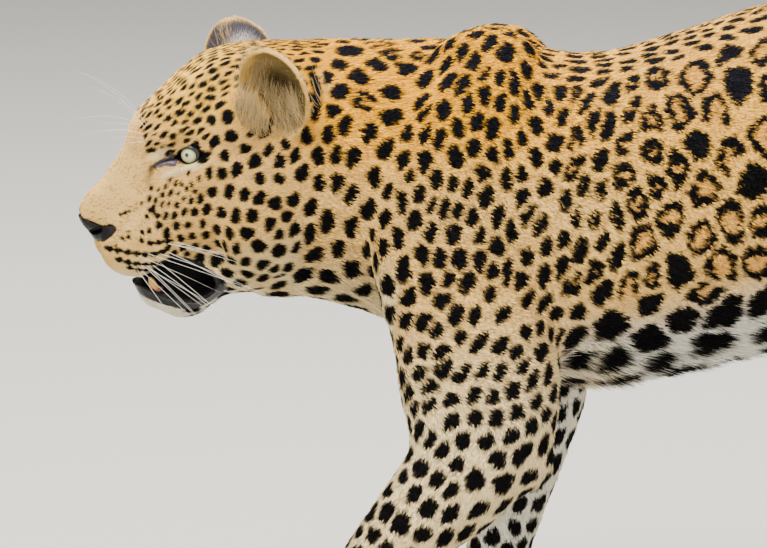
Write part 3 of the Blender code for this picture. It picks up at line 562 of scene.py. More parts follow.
corner = read(skin.data.polygons, "vertices", 3, np.int32)
sides = places[corner]
area = np.linalg.norm(np.cross(sides[:, 1] - sides[:, 0], sides[:, 2] - sides[:, 0]), axis=1) / 2
spacing = web.smooth(np.array([SPOTS[name][0] for name in region]), SPOT_ROUNDS)
stretch_at = web.smooth(np.array([SPOTS[name][2] for name in region]), SPOT_ROUNDS)
way_at = np.array([WAYS.get(SPOTS[name][3], (0.0, 0.0, 0.0)) for name in region])
by_lie = ~way_at.any(axis=1)
way_at[by_lie] = lie[by_lie]
way_at = laid(web.smooth(way_at, SPOT_ROUNDS), facing)
chance = area * (region != "bare")[corner].all(axis=1) / spacing[corner].mean(axis=1) ** 2
tries = random.choice(len(corner), SPOT_TRIES, p=chance / chance.sum())
weights = random.dirichlet((1.0, 1.0, 1.0), SPOT_TRIES)
try_vertex = corner[tries, weights.argmax(axis=1)]
try_place = (places[corner[tries]] * weights[:, :, None]).sum(axis=1)
try_tree = kdtree.KDTree(SPOT_TRIES)
for k, place in enumerate(try_place):
    try_tree.insert(place, k)
try_tree.balance()


def too_near(k, room):
    """The tries that a spot at one of them leaves no room for, further along its way than across it."""
    v = try_vertex[k]
    reach = spacing[v] * room
    found = np.array([j for _, j, _ in try_tree.find_range(try_place[k], reach * math.sqrt(stretch_at[v]))])
    off = try_place[found] - try_place[k]
    along = off @ way_at[v]
    across = off @ np.cross(facing[v], way_at[v])
    far = along ** 2 / stretch_at[v] + across ** 2 * stretch_at[v] + (off @ facing[v]) ** 2
    return found[far < reach ** 2]


chosen = []
for room in SPOT_ROOM:
    free = np.ones(SPOT_TRIES, bool)
    for k in chosen:
        free[too_near(k, room)] = False
    for k in range(SPOT_TRIES):
        if free[k]:
            chosen.append(k)
            free[too_near(k, room)] = False
spot_vertex = try_vertex[chosen]
count = len(chosen)
rule = [SPOTS[name] for name in region[spot_vertex]]
size = np.array([r[1] for r in rule]) * random.uniform(0.82, 1.18, count)
stretch = np.array([r[2] for r in rule]) * random.uniform(0.8, 1.25, count)
way = laid(way_at[spot_vertex] + random.normal(0, 0.15, (count, 3)), facing[spot_vertex])
is_ring = random.random(count) < np.array([r[4] for r in rule])
has_gap = is_ring & (random.random(count) < np.array([r[5] for r in rule]))
spot = {
    "centre": try_place[chosen], "up": facing[spot_vertex], "way": way,
    "across": np.cross(facing[spot_vertex], way),
    "long": np.sqrt(stretch), "short": 1 / np.sqrt(stretch), "size": size,
    "between": np.minimum(spacing[spot_vertex] * BETWEEN_SHARE, BETWEEN_MOST)
    * random.uniform(0.45, 1.2, count),
    "wall": np.where(is_ring, RING_WALL * random.uniform(0.8, 1.15, count), 9.0),
    "gap": np.where(has_gap, random.uniform(0.25, 0.75, count), -1.0),
    "turn": random.uniform(-math.pi, math.pi, (count, 5)),
    "lobes": random.uniform(0.3, 1.0, (count, 3)) * LOBE_REACH,
}
spot_tree = kdtree.KDTree(count)
for k, centre in enumerate(spot["centre"]):
    spot_tree.insert(centre, k)
spot_tree.balance()
near_spots = np.array([[k for _, k, _ in spot_tree.find_n(p, NEAR_SPOTS)] for p in places.tolist()])


def waver(points, waves, reach):
    """A smooth unevenness of about the reach, from a few sine waves of the given lengths."""
    made = np.zeros_like(points)
    for k, wave in enumerate(waves):
        turned = points[:, [1, 2, 0]] * (2 * math.pi / wave) + k * 1.7
        made += np.sin(turned + 1.3 * np.sin(points[:, [2, 0, 1]] * (2 * math.pi / wave / 1.6)))
    return made * reach / len(waves)


def markings(points, near):
    """How dark the pattern is at each point, and how much of a ring's deeper middle lies there."""
    uneven = waver(points, UNEVEN_WAVES, UNEVEN_SHARE)
    reach = []
    for column in near.T:
        s = {key: spot[key][column] for key in ("centre", "way", "across", "up", "long", "short", "size")}
        off = points + uneven * s["size"][:, None] - s["centre"]
        u = (off * s["way"]).sum(axis=1) / s["long"]
        v = (off * s["across"]).sum(axis=1) / s["short"]
        w = (off * s["up"]).sum(axis=1) / 2.5
        reach.append((np.sqrt(u * u + v * v + w * w), np.arctan2(v, u)))
    far, angle = (np.array(values) for values in zip(*reach))
    first = far.argmin(axis=0)
    everyone = np.arange(len(points))
    nearest = far[first, everyone]
    angle = angle[first, everyone]
    far[first, everyone] = 1.0
    s = {key: value[near[everyone, first]] for key, value in spot.items()}
    edge = 1.0
    for k, turns in enumerate(LOBES):
        edge = edge + s["lobes"][:, k] * np.cos(turns * angle + s["turn"][:, k])
    crowd = np.exp(-(far - nearest) / 2 / CORNER_EASE).sum(axis=0)
    to_border = -CORNER_EASE * np.log(crowd + 1e-30)
    depth = np.minimum(edge * s["size"] - nearest, to_border - s["between"] / 2)
    outer = ramp(depth, -SOFT_EDGE, SOFT_EDGE)
    wall = s["wall"] * (1 + 0.25 * np.cos(2 * angle + s["turn"][:, 3]))
    hollow = ramp(depth, wall - SOFT_EDGE, wall + SOFT_EDGE)
    opened = np.abs((angle - s["turn"][:, 4] + math.pi) % (2 * math.pi) - math.pi)
    shut = ramp(opened, s["gap"] - GAP_EDGE, s["gap"] + GAP_EDGE)
    return outer * (1 - hollow) * shut, np.minimum(hollow, outer)


WHISKER_ROWS = (
    ((0.0165, -0.0335), (0.0294, -0.0404), (0.0433, -0.0485), (0.0593, -0.0554), (0.0690, -0.0550)),
    ((0.0220, -0.0470), (0.0384, -0.0578), (0.0474, -0.0628), (0.0600, -0.0672)),
    ((0.0300, -0.0585), (0.0382, -0.0656), (0.0503, -0.0702)),
    ((0.0560, -0.0420), (0.0678, -0.0453), (0.0800, -0.0472)),
)
ROW_HALF_WIDTH = (0.0031, 0.0027, 0.0023, 0.0028)
MUZZLE_DOTS = (
    (0.0423, -0.0234, 0.0014), (0.0540, -0.0297, 0.0023), (0.0613, -0.0307, 0.0025),
    (0.0341, -0.0278, 0.0019), (0.0401, -0.0289, 0.0020), (0.0504, -0.0366, 0.0025),
    (0.0403, -0.0072, 0.0013), (0.0430, -0.0073, 0.0013), (0.0463, -0.0072, 0.0014),
    (0.0495, -0.0069, 0.0014), (0.0645, -0.0030, 0.0018), (0.0647, -0.0170, 0.0022),
    (0.0745, -0.0097, 0.0024), (0.0747, -0.0190, 0.0028), (0.0738, -0.0289, 0.0024),
    (0.0250, -0.0330, 0.0012),
)
BEAD_SHARE, BEAD_SWING, BEAD_EVERY = 0.80, 0.34, 0.0088
EYE_STREAK = ((0.1290, 0.0310), (0.1371, 0.0268), (0.1430, 0.0255))
DUCT_STREAK = ((0.0890, 0.0270), (0.0840, 0.0240), (0.0790, 0.0170), (0.0770, 0.0090))
FACE_WAVES, FACE_WAVER = (0.007, 0.0031), 0.0007
EYE_STREAK_EDGE, DUCT_STREAK_EDGE = (0.0020, 0.0040), (0.0010, 0.0040)
EAR_FOLD_SHADOW_EDGE, LID_EDGE = (0.0030, 0.0055), (0.0022, 0.0040)
EAR_OFF_MIDDLE = 0.03
FACE_END = 0.15


def face_marks(points):
    """Dark rows of the whisker pads, dots beside the nose, streaks by each eye, painted shadow behind each
    ear.
    """
    local = in_head(points + waver(points, FACE_WAVES, FACE_WAVER))
    side = local[:, ::2]
    dark = np.zeros(len(points))
    for line, half in zip(WHISKER_ROWS, ROW_HALF_WIDTH):
        off, along = near_line(side, line)
        beads = half * (BEAD_SHARE + BEAD_SWING * np.sin(along * 2 * math.pi / BEAD_EVERY))
        dark = np.maximum(dark, 1 - ramp(off, beads - 0.0004, beads + 0.0006))
    for x, z, radius in MUZZLE_DOTS:
        off = np.hypot(side[:, 0] - x, side[:, 1] - z)
        dark = np.maximum(dark, 1 - ramp(off, radius, radius + 0.0008))
    off, _ = near_line(side, EYE_STREAK)
    dark = np.maximum(dark, 1 - ramp(off, *EYE_STREAK_EDGE))
    off, along = near_line(side, DUCT_STREAK)
    dark = np.maximum(dark, (1 - ramp(off, *DUCT_STREAK_EDGE)) * (0.75 - 0.5 * ramp(along, 0.002, 0.020)))
    dark = np.maximum(dark, 1 - ramp(off_eyes(points), *LID_EDGE))
    # Painted shadow: a dark band along the fold behind each ear.
    off, _ = near_line(side, BEHIND_EAR)
    behind_ear_shadow = (1 - ramp(off, *EAR_FOLD_SHADOW_EDGE)) * (np.abs(local[:, 1]) > EAR_OFF_MIDDLE)
    off_midline = ramp(np.abs(local[:, 1]), *OFF_MIDLINE)
    return np.maximum(dark * off_midline * (side[:, 0] < FACE_END), behind_ear_shadow)


# The colours of the hide and hair
# Orange on the nape and back, buff on the sides, white below and inside the limbs, sandy on the muzzle.
BUFF = (232, 188, 108)
ORANGE = (248, 178, 32)
FLANK = (236, 186, 96)
LIMB = (244, 222, 174)
WHITE = (240, 236, 220)
CREAM = (242, 220, 168)
MUZZLE_SAND = (228, 186, 112)
CROWN = (244, 194, 84)
EAR_HAIR = (150, 126, 76)
EAR_BACK = (70, 66, 72)
# Painted shade for the hollow of each ear's cup
EAR_CUP_SHADE = (44, 34, 24)
EAR_RIM = (232, 190, 108)
EAR_WHITE = (222, 218, 216)
EYE_PATCH = (244, 220, 168)
DARK_SKIN_AND_MOUTH_SHADE = (9, 8, 9)
LIP_SHEEN = (22, 19, 23)
SPOT_BLACK = (9, 8, 9)
# The bluish black is a painted sheen, mixed into the spots higher up the body.
SPOT_TOP_SHEEN = (20, 20, 27)
RING_MIDDLE = (218, 152, 62)
RING_DEPTH = 0.60
TOE_SHADE = (110, 82, 50)
FLECK = (84, 56, 28)
FLECK_CELL, FLECKED_SHARE, FLECK_DEPTH = 0.0018, 0.30, 0.80
# Each ear's middle, the way it opens and its upright, in the head's frame, and half its width and height
EARS = {
    "left": ((0.2190, -0.0820, 0.0655), (-0.62, -0.74, -0.10), (0.03, -0.22, 0.97)),
    "right": ((0.2140, 0.0820, 0.0625), (-0.12, 0.98, -0.12), (0.00, 0.42, 0.90)),
}
EAR_HALF = (0.0380, 0.0510)


def linear(colour):
    """A colour as named from nought to 255, as the shader's linear light."""
    c = np.asarray(colour, float) / 255
    return np.where(c <= 0.04045, c / 12.92, ((c + 0.055) / 1.055) ** 2.4)


def paint(colour):
    return (*linear(colour), 1.0)


def mixed(colours, other, share):
    return colours + (linear(other) - colours) * np.asarray(share)[:, None]


trunk = is_part("neck", "torso", "hindquarters")
paws = is_part(*PAWS)
limb = is_part("foreleg", "hindleg", *PAWS)
tail = np.char.startswith(part_at, "tail")
nape = ramp(height, 0.475, 0.570) * (1 - 0.62 * ramp(body_x, -0.02, 0.18))
under = ramp(-facing[:, 2], 0.35, 0.75) * (1 - ramp(height, 0.40, 0.47))
belly_line = 0.292 + 0.28 * np.maximum(body_x - 0.10, 0.0)
belly_side = (1 - ramp(body_x, 0.40, 0.50)) * ramp(body_x, 0.04, 0.10)
low = 1 - ramp(height, 0.26, 0.42)
thigh_share = is_part("hindleg", "hindpaw") * ramp(height, 0.10, 0.30)
inward = -facing[:, 1] * np.sign(places[:, 1] - BODY_ZERO[1])
ground = np.tile(linear(BUFF), (len(places), 1))
for colour, share in (
    # On the trunk
    (FLANK, trunk * ramp(height, 0.40, 0.50) * ramp(body_x, 0.05, 0.20)),
    (ORANGE, trunk * nape),
    (CREAM, (part_at == "neck") * (1 - ramp(height, 0.37, 0.45))),
    (WHITE, trunk * (part_at != "neck") * under),
    (WHITE, trunk * belly_side * (1 - ramp(height, belly_line + 0.012, belly_line + 0.095))),
    # On the legs, paws and tail
    (LIMB, limb * (0.85 - 0.65 * thigh_share) * low),
    (LIMB, trunk * 0.8 * low * (1 - ramp(body_x, 0.08, 0.14))),
    (WHITE, limb * 0.85 * ramp(inward, 0.05, 0.55)),
    (CREAM, paws * 0.6),
    (TOE_SHADE, between_toes * 0.6),
    (WHITE, tail * ramp(-facing[:, 2], 0.0, 0.6)),
    (WHITE, (part_at == "tail_tip") * 0.6),
    # On the head
    (CROWN, on_head * ramp(hz, 0.030, 0.075) * ramp(hx, 0.085, 0.13)),
    (ORANGE, on_head * nape * ramp(hx, 0.17, 0.27)),
    (CREAM, on_head * 0.75 * (1 - ramp(hz, -0.105, -0.045))),
    (MUZZLE_SAND, on_head * (1 - ramp(hx, 0.075, 0.105)) * ramp(hz, -0.052, -0.022)),
    (CREAM, on_head * 0.6 * (1 - ramp(hx, 0.05, 0.09)) * (1 - ramp(hz, -0.07, -0.04))),
    (WHITE, below * 0.8),
    (EYE_PATCH, on_head * (1 - ramp(off_pale, -0.0005, 0.0030)) * (np.abs(hy) > 0.012)),
):
    ground = mixed(ground, colour, share)
ear_frames = {}
for side, (middle, opens, upright) in EARS.items():
    opens = np.array(opens) / np.linalg.norm(opens)
    wide = np.cross(opens, upright)
    wide /= np.linalg.norm(wide)
    upright = np.cross(wide, opens)
    ear_frames[side] = (np.array(middle), opens, wide, upright)
    this = node_at == "ear_" + side
    front = (facing @ HEAD_AXES) @ opens
    from_middle = face_points - np.array(middle)
    at = np.hypot(from_middle @ wide / EAR_HALF[0], from_middle @ upright / EAR_HALF[1])
    inner, outer = this * ramp(front, 0.0, 0.4), this * ramp(-front, 0.0, 0.3)
    # The lower rear of each ear's cup, where its hollow is deepest, is darkened with painted shade.
    low_rear = np.hypot((hx - middle[0] - 0.008) / 0.026, (hz - middle[2] + 0.010) / 0.042)
    for colour, share in (
        (EAR_HAIR, inner),
        (EAR_CUP_SHADE, inner * (1 - ramp(low_rear, 0.35, 1.0)) * 0.9),
        (EAR_BACK, outer),
        (EAR_WHITE, outer * (1 - ramp(at, 0.35, 0.75)) * 0.85),
        (CROWN, inner * 0.7 * ramp(at, 0.55, 0.85) * (1 - ramp(hx - middle[0], -0.012, 0.0))),
        (EAR_RIM, this * ramp(at, 0.84, 0.94) * ramp(hx - middle[0], -0.014, 0.0)),
    ):
        ground = mixed(ground, colour, share)
off_pouch, _ = near_line(side_view, EAR_POUCH)
pouch = on_head * (1 - ramp(off_pouch, 0.0020, 0.0045)) * (np.abs(hy) > EAR_OFF_MIDDLE)
ground = mixed(ground, EAR_RIM, pouch)
ground = web.smooth(ground, 3)
speckle = muzzle * ramp(hz, -0.050, -0.020)


def stippled(colours, points, share):
    """Fine brown flecks over the colours, in three of ten small cells, picked by where they lie."""
    cell = np.floor(points / FLECK_CELL) @ (12.9898, 78.233, 37.719)
    picked = np.abs(np.sin(cell) * 43758.5453) % 1.0 < FLECKED_SHARE
    return mixed(colours, FLECK, picked * share * FLECK_DEPTH)


def coloured(base, points, near):
    """Dark rows and colour of the coat at each point: its ground, the middles of rings and the dark pattern
    with painted sheen.
    """
    dark, middle = markings(points, near)
    dark = np.maximum(dark, face_marks(points))
    made = mixed(base, RING_MIDDLE, RING_DEPTH * middle)
    # Painted sheen: the dark pattern turns bluish black higher up the body, where light from above glints on
    # the black hair.
    top_sheen = ramp(points[:, 2], 0.50, 0.62)[:, None]
    dark_and_sheen = linear(SPOT_BLACK) + (linear(SPOT_TOP_SHEEN) - linear(SPOT_BLACK)) * top_sheen
    return made + (dark_and_sheen - made) * dark[:, None]


skin_colour = coloured(ground, places, near_spots)
# Black bare skin on the lips, round the eyes and in the tear troughs; the inside of the open mouth gets the
# same near-black as painted shade.
inside = on_head * (1 - ramp(off_mouth, -0.001, 0.0016)) * (hx < 0.125)
socket = 1 - ramp(off_eye, 0.0004, 0.0024)
trough = on_head * (1 - ramp(off_trough, 0.0, 0.0010)) * (np.abs(hy) > 0.015)
bare = np.maximum.reduce([inside, lips, socket, trough])
skin_colour = mixed(skin_colour, DARK_SKIN_AND_MOUTH_SHADE, bare)
lip_edge = ramp(off_mouth, 0.002, 0.005) * (1 - ramp(off_mouth, 0.006, 0.010))
skin_colour = mixed(skin_colour, LIP_SHEEN, lips * below * lip_edge * 0.7)


def write(mesh, name, kind, values):
    """Gives each point of a mesh a named number, vector or colour, for its material."""
    owner = mesh.color_attributes if kind == "FLOAT_COLOR" else mesh.attributes
    field = {"FLOAT": "value", "FLOAT_VECTOR": "vector", "FLOAT_COLOR": "color"}[kind]
    owner.new(name=name, type=kind, domain="POINT").data.foreach_set(field, values.astype(np.float32).ravel())


write(skin.data, "coat_colour", "FLOAT_COLOR", np.column_stack([skin_colour, np.ones(len(places))]))
write(skin.data, "lie", "FLOAT_VECTOR", lie)
write(skin.data, "bareness", "FLOAT", bare * (1 - 0.9 * inside))


class Value:
    """A shader number that takes part in sums, each sum adding its own Math node."""

    def __init__(self, finish, socket):
        self.finish, self.socket = finish, socket

    def sum_with(self, operation, first, second):
        return self.finish.node("Math", {"operation": operation}, {0: first, 1: second})

    def __add__(self, other):
        return self.sum_with("ADD", self, other)

    def __sub__(self, other):
        return self.sum_with("SUBTRACT", self, other)

    def __rsub__(self, other):
        return self.sum_with("SUBTRACT", other, self)

    def __mul__(self, other):
        return self.sum_with("MULTIPLY", self, other)

    __radd__ = __add__
    __rmul__ = __mul__


class Finish:
    """A material whose nodes are added one call at a time."""

    def __init__(self, name, roughness, specular=0.5, coat=0.0):
        self.material = bpy.data.materials.new(name)
        self.material.use_nodes = True
        self.tree = self.material.node_tree
        self.shader = self.tree.nodes["Principled BSDF"]
        self.set("Roughness", roughness)
        self.set("Specular IOR Level", specular)
        self.set("Coat Weight", coat)

    def node(self, kind, settings, sockets, output=0):
        """Adds a node: its settings first, among them a ramp's stops, then its sockets' values or links."""
        made = self.tree.nodes.new("ShaderNode" + kind)
        for key, value in settings.items():
            if key == "stops":
                for place_at, _ in value[1:-1]:
                    made.color_ramp.elements.new(place_at)
                for stop, (place_at, colour) in zip(made.color_ramp.elements, value):
                    stop.position = place_at
                    stop.color = paint(colour)
            else:
                setattr(made, key, value)
        for key, value in sockets.items():
            self.put(made.inputs[key], value)
        return Value(self, made.outputs[output])

    def mix(self, share, first, second, blend="MIX"):
        settings = {"data_type": "RGBA", "blend_type": blend}
        return self.node("Mix", settings, {0: share, 6: first, 7: second}, 2)

    def noise(self, scale, detail=2.0, where=None):
        """Cloudy grain, finer with its scale, at the piece's own places or where it is told."""
        where = where or self.node("TexCoord", {}, {}, 3)
        return self.node("TexNoise", {}, {"Vector": where, "Scale": scale, "Detail": detail})

    def named(self, name, output=0):
        """An attribute of the mesh: 0 as a colour, 1 as a vector, 2 as a number."""
        return self.node("Attribute", {"attribute_name": name}, {}, output)

    def put(self, socket, value):
        if isinstance(value, Value):
            self.tree.links.new(value.socket, socket)
        else:
            socket.default_value = value

    def set(self, name, value):
        self.put(self.shader.inputs[name], value)

    def bump(self, height, distance, strength=1.0):
        sockets = {"Height": height, "Distance": distance, "Strength": strength}
        self.set("Normal", self.node("Bump", {}, sockets))


hide = Finish("hide", 0.7, 0.08)
bare_here = hide.named("bareness", 2)
hide.set("Roughness", 0.70 - bare_here * 0.38)
hide.set("Coat Weight", bare_here * 0.35)
hide.set("Coat Roughness", 0.25)
own_lie = hide.named("lie", 1)
here = hide.node("TexCoord", {}, {}, 3)
along = hide.node("VectorMath", {"operation": "DOT_PRODUCT"}, {0: here, 1: own_lie}, 1)
drawn = hide.node("VectorMath", {"operation": "SCALE"}, {0: own_lie, 3: along * 0.88})
strand_place = hide.node("VectorMath", {"operation": "SUBTRACT"}, {0: here, 1: drawn})
strands = hide.noise(900.0, 3.0, strand_place)
clumps = hide.noise(230.0, 2.0, strand_place)
tone = hide.node("CombineColor", {}, {k: 0.72 + strands * 0.34 + clumps * 0.22 for k in range(3)})
hide.set("Base Color", hide.mix(1.0, hide.named("coat_colour"), tone, "MULTIPLY"))
hide.bump(strands + clumps * 1.5, 0.0009, 0.7)
skin.data.materials.append(hide.material)
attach(skin, "root")
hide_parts(*flesh)

# The coat
# Short guard hair over the whole hide, in flattened tufts rooted in the skin that lie back along the body and
# overlap. They are shortest on the muzzle and paws and longest on the belly, throat and tail.
TUFT_SHARE = 0.75
LOOSE_TURN, WAVY_TURN, WAVY_LIFT = 0.16, 0.16, 0.35
CLUMP_WAVES = (0.031, 0.017)
LENGTHS, LIFTS, WIDTHS = (0.72, 1.22), (0.6, 1.35), (0.75, 1.2)
RIDGE_ALONG, RIDGE_OVER = 0.42, 0.55
EMBED = 0.0004
SOLE_HEIGHT, OFF_FLOOR = 0.0030, 0.0003
SAMPLED_AT = (0.52, 0.70, 0.90)
ROOT_TONE, RIDGE_TONE, TIP_TONE, TONE_SPREAD = 0.82, 0.98, 1.08, 0.085
TUFT_FACES = np.array([(0, 1, 2), (1, 3, 2), (3, 0, 2), (0, 3, 1)])
BAKE_PATCH = np.array([(-0.5, -0.5), (0.5, -0.5), (0.0, 0.1), (0.0, 0.5)]) * 0.0030
ALONG, UP = (1, 0, 0), (0, 0, 1)
MUZZLE_END, SHOULDER_END = 0.105, 0.13

furred = (bare < 0.4) * (openness > 0.5) * (places[:, 2] > SOLE_HEIGHT)
weight = area * (hair[:, 3] * furred)[corner].mean(axis=1) * 1e4 * TUFT_SHARE
tri_part = part_at[corner[:, 0]]
tri_x = body_x[corner].mean(axis=1)
tri_hx = hx[corner].mean(axis=1)
tri_left = (places[:, 1] - BODY_ZERO[1])[corner].mean(axis=1) < 0
tri_left_face = hy[corner].mean(axis=1) < 0
is_face = np.isin(tri_part, ("head", "lower_jaw"))


def bake_places(root, normal, axis, origin, apart):
    """Where each root lies on the skin unwrapped round an axis, the left and right side apart if told."""
    axis = np.asarray(axis, float)
    u = (root - origin) @ axis
    first_side = np.cross(axis, (0.3, 1.0, 0.2))
    first_side /= np.linalg.norm(first_side)
    v = np.arctan2(normal @ first_side, normal @ np.cross(axis, first_side)) / (2 * math.pi) + 0.5
    u = (u - u.min()) / (u.max() - u.min())
    if apart:
        u = u / 2.02 + np.where(root[:, 1] > BODY_ZERO[1], 0.505, 0.0)
    return np.column_stack([u, v]) * 0.98 + 0.01


def coat_piece(name, chosen, axis, origin=BODY_ZERO):
    """Grows the tufts of the chosen skin triangles as one mesh."""
    draw = np.random.default_rng(sum(map(ord, name)))
    index = np.flatnonzero(chosen & (weight > 0))
    reach = np.cumsum(weight[index])
    wanted = int(reach[-1])
    picks = (np.arange(wanted) + draw.random(wanted)) * reach[-1] / wanted
    tri = index[np.searchsorted(reach, picks).clip(0, len(index) - 1)]
    share = draw.random((wanted, 2))
    folded = share.sum(axis=1) > 1
    share[folded] = 1 - share[folded]
    share = np.column_stack([1 - share.sum(axis=1), share])

    def at_root(values):
        return (values[corner[tri]] * share[:, :, None]).sum(axis=1)

    root, normal, run = at_root(places), unit(at_root(facing)), at_root(lie)
    length, lift, width, _ = at_root(hair).T
    near = near_spots[corner[tri, share.argmax(axis=1)]]
    wave = waver(root, CLUMP_WAVES, 1.0)
    turn = draw.normal(0, LOOSE_TURN, wanted) + WAVY_TURN * wave[:, 0]
    run = laid(run, normal)
    across = np.cross(run, normal)
    run = run * np.cos(turn)[:, None] + across * np.sin(turn)[:, None]
    across = np.cross(run, normal)
    length = length * draw.uniform(*LENGTHS, wanted)
    lift = np.radians(lift) * (1 + WAVY_LIFT * wave[:, 1]) * draw.uniform(*LIFTS, wanted)
    half = (width * draw.uniform(*WIDTHS, wanted) / 2)[:, None]
    out = run * np.cos(lift)[:, None] + normal * np.sin(lift)[:, None]
    over = normal * np.cos(lift)[:, None] - run * np.sin(lift)[:, None]
    root = root - normal * EMBED
    tip = root + out * length[:, None]
    ridge = root + out * (length * RIDGE_ALONG)[:, None] + over * half * RIDGE_OVER
    colour = stippled(at_root(ground), root, at_root(speckle[:, None])[:, 0])
    low, middle, top = (coloured(colour, root + run * (length * at)[:, None], near) for at in SAMPLED_AT)
    jitter = draw.normal(1.0, TONE_SPREAD, wanted)[:, None]
    corners = np.stack([root - across * half, root + across * half, ridge, tip], axis=1)
    corners[:, :, 2] = np.maximum(corners[:, :, 2], OFF_FLOOR)
    tones = np.stack([low * ROOT_TONE, low * ROOT_TONE, middle * RIDGE_TONE, top * TIP_TONE], axis=1)
    tones = np.clip(tones * jitter[:, None], 0, 1)
    mesh = bpy.data.meshes.new(name)
    mesh.vertices.add(wanted * 4)
    mesh.vertices.foreach_set("co", corners.astype(np.float32).ravel())
    loops = (TUFT_FACES[None] + (np.arange(wanted) * 4)[:, None, None]).reshape(-1)
    mesh.loops.add(len(loops))
    mesh.loops.foreach_set("vertex_index", loops.astype(np.int32))
    mesh.polygons.add(wanted * 4)
    mesh.polygons.foreach_set("loop_start", np.arange(0, len(loops), 3, dtype=np.int32))
    mesh.update(calc_edges=True)
    layer = mesh.uv_layers.new(name="OFBake")
    flat = bake_places(root, normal, axis, origin, name.endswith(("legs", "paws", "ears")))
    spread = (flat[:, None] + BAKE_PATCH[None]).reshape(-1, 2)[loops]
    layer.data.foreach_set("uv", spread.astype(np.float32).ravel())
    write(mesh, "coat_colour", "FLOAT_COLOR", np.concatenate([tones, np.ones((wanted, 4, 1))], axis=2))
    piece = placed(name, mesh)
    mesh.materials.append(guard_hair.material)
    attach(piece, "root")


guard_hair = Finish("guard_hair", 0.62, 0.06)
guard_hair.set("Base Color", guard_hair.named("coat_colour"))
head_axis = HEAD_AXES[:, 0]
is_muzzle = tri_hx < MUZZLE_END
is_shoulder = tri_x < SHOULDER_END
coat_piece("coat_muzzle", is_face & is_muzzle, head_axis, NOSE_TIP)
for side, mask in (("left", tri_left_face), ("right", ~tri_left_face)):
    coat_piece("coat_cheek_" + side, is_face & ~is_muzzle & mask, head_axis, NOSE_TIP)
coat_piece("coat_ears", tri_part == "ear", UP)
coat_piece("coat_neck", tri_part == "neck", ALONG)
for side, mask in (("left", tri_left), ("right", ~tri_left)):
    coat_piece("coat_shoulder_" + side, (tri_part == "torso") & is_shoulder & mask, ALONG)
    coat_piece("coat_flank_" + side, (tri_part == "torso") & ~is_shoulder & mask, ALONG)
    coat_piece("coat_rump_" + side, (tri_part == "hindquarters") & mask, ALONG)
coat_piece("coat_forelegs", tri_part == "foreleg", UP)
coat_piece("coat_hindlegs", tri_part == "hindleg", UP)
coat_piece("coat_paws", np.isin(tri_part, PAWS), ALONG)
coat_piece("coat_tail", np.char.startswith(tri_part, "tail"), ALONG)

# The eyes
# Round and pale, grey-green with a small round pupil and a dark ring, wet, and set deep between dark lids.
# Each is a ball with a low clear bulge over the iris, held in the socket of the skin.
GAZE_OUT = math.radians(58)
GAZE_DOWN = 0.01
CORNEA_RISE, CORNEA_REACH = 0.0014, 0.60
PUPIL_AT = (0.0, 0.13, 0.0)
PUPIL_BLACK = (5, 5, 7)
EYE_RINGS, EYE_SIDES = 44, 56
IRIS_STOPS = (
    (0.0, (176, 172, 108)), (0.12, (188, 188, 130)), (0.22, (200, 202, 150)), (0.38, (208, 212, 166)),
    (0.50, (164, 170, 122)), (0.56, (46, 40, 32)), (0.63, (34, 25, 22)), (1.0, (26, 19, 18)),
)

eye_finish = Finish("eye_glass", 0.12, 0.5, 1.0)
eye_finish.set("Coat Roughness", 0.03)
eye_spot = eye_finish.named("iris_place", 1)
from_middle = eye_finish.node("VectorMath", {"operation": "LENGTH"}, {0: eye_spot}, 1)
outward = eye_finish.node("VectorMath", {"operation": "NORMALIZE"}, {0: eye_spot})
fibre_place = eye_finish.node("VectorMath", {"operation": "ADD"}, {0: outward, 1: eye_spot})
fibres = eye_finish.noise(14.0, 3.0, fibre_place)
rings = eye_finish.node("ValToRGB", {"stops": IRIS_STOPS}, {0: from_middle + (fibres - 0.5) * 0.05})
eye_shade = eye_finish.node("CombineColor", {}, {k: 0.62 + fibres * 0.70 for k in range(3)})
iris_colour = eye_finish.mix(1.0, rings, eye_shade, "MULTIPLY")
off_pupil = eye_finish.node("VectorMath", {"operation": "DISTANCE"}, {0: eye_spot, 1: PUPIL_AT}, 1)
iris_rim = eye_finish.node("MapRange", {}, {0: off_pupil, 1: 0.105, 2: 0.14, 3: 0.0, 4: 1.0})
eye_finish.set("Base Color", eye_finish.mix(iris_rim, paint(PUPIL_BLACK), iris_colour))

eye_frames = {}
for side, sign in (("left", -1), ("right", 1)):
    gaze = unit(np.array([[-math.cos(GAZE_OUT), sign * math.sin(GAZE_OUT), -GAZE_DOWN]])) @ HEAD_AXES.T
    back = unit(np.array([[math.sin(GAZE_OUT), sign * math.cos(GAZE_OUT), 0.0]])) @ HEAD_AXES.T
    eye_frames[side] = (np.array(eye_balls[side]), gaze[0], back[0], np.cross(gaze[0], back[0]) * -sign)


def faces_out(mesh):
    """Turns the faces of closed shells outwards and shades them smooth."""
    shell = bmesh.new()
    shell.from_mesh(mesh)
    bmesh.ops.recalc_face_normals(shell, faces=shell.faces)
    shell.to_mesh(mesh)
    shell.free()
    mesh.shade_smooth()


for side, (centre, gaze, back, up) in eye_frames.items():
    bpy.ops.mesh.primitive_uv_sphere_add(segments=EYE_SIDES, ring_count=EYE_RINGS, radius=EYE_RADIUS)
    eye = bpy.context.object
    eye.name = "glass_eye_" + side
    local = places_of(eye)
    from_axis = np.arccos(np.clip(local[:, 2] / EYE_RADIUS, -1, 1))
    turned = np.arctan2(local[:, 1], local[:, 0])
    rise = CORNEA_RISE * np.clip(1 - (from_axis / CORNEA_REACH) ** 2, 0, 1) ** 1.5
    local *= (1 + rise / EYE_RADIUS)[:, None]
    move(eye, centre + local @ np.array([back, up, gaze]))
    spot_on_eye = np.column_stack([from_axis * np.cos(turned), from_axis * np.sin(turned), 0 * turned])
    write(eye.data, "iris_place", "FLOAT_VECTOR", spot_on_eye)
    faces_out(eye.data)
    eye.data.materials.append(eye_finish.material)
    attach(eye, "root")
    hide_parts("eye_" + side)

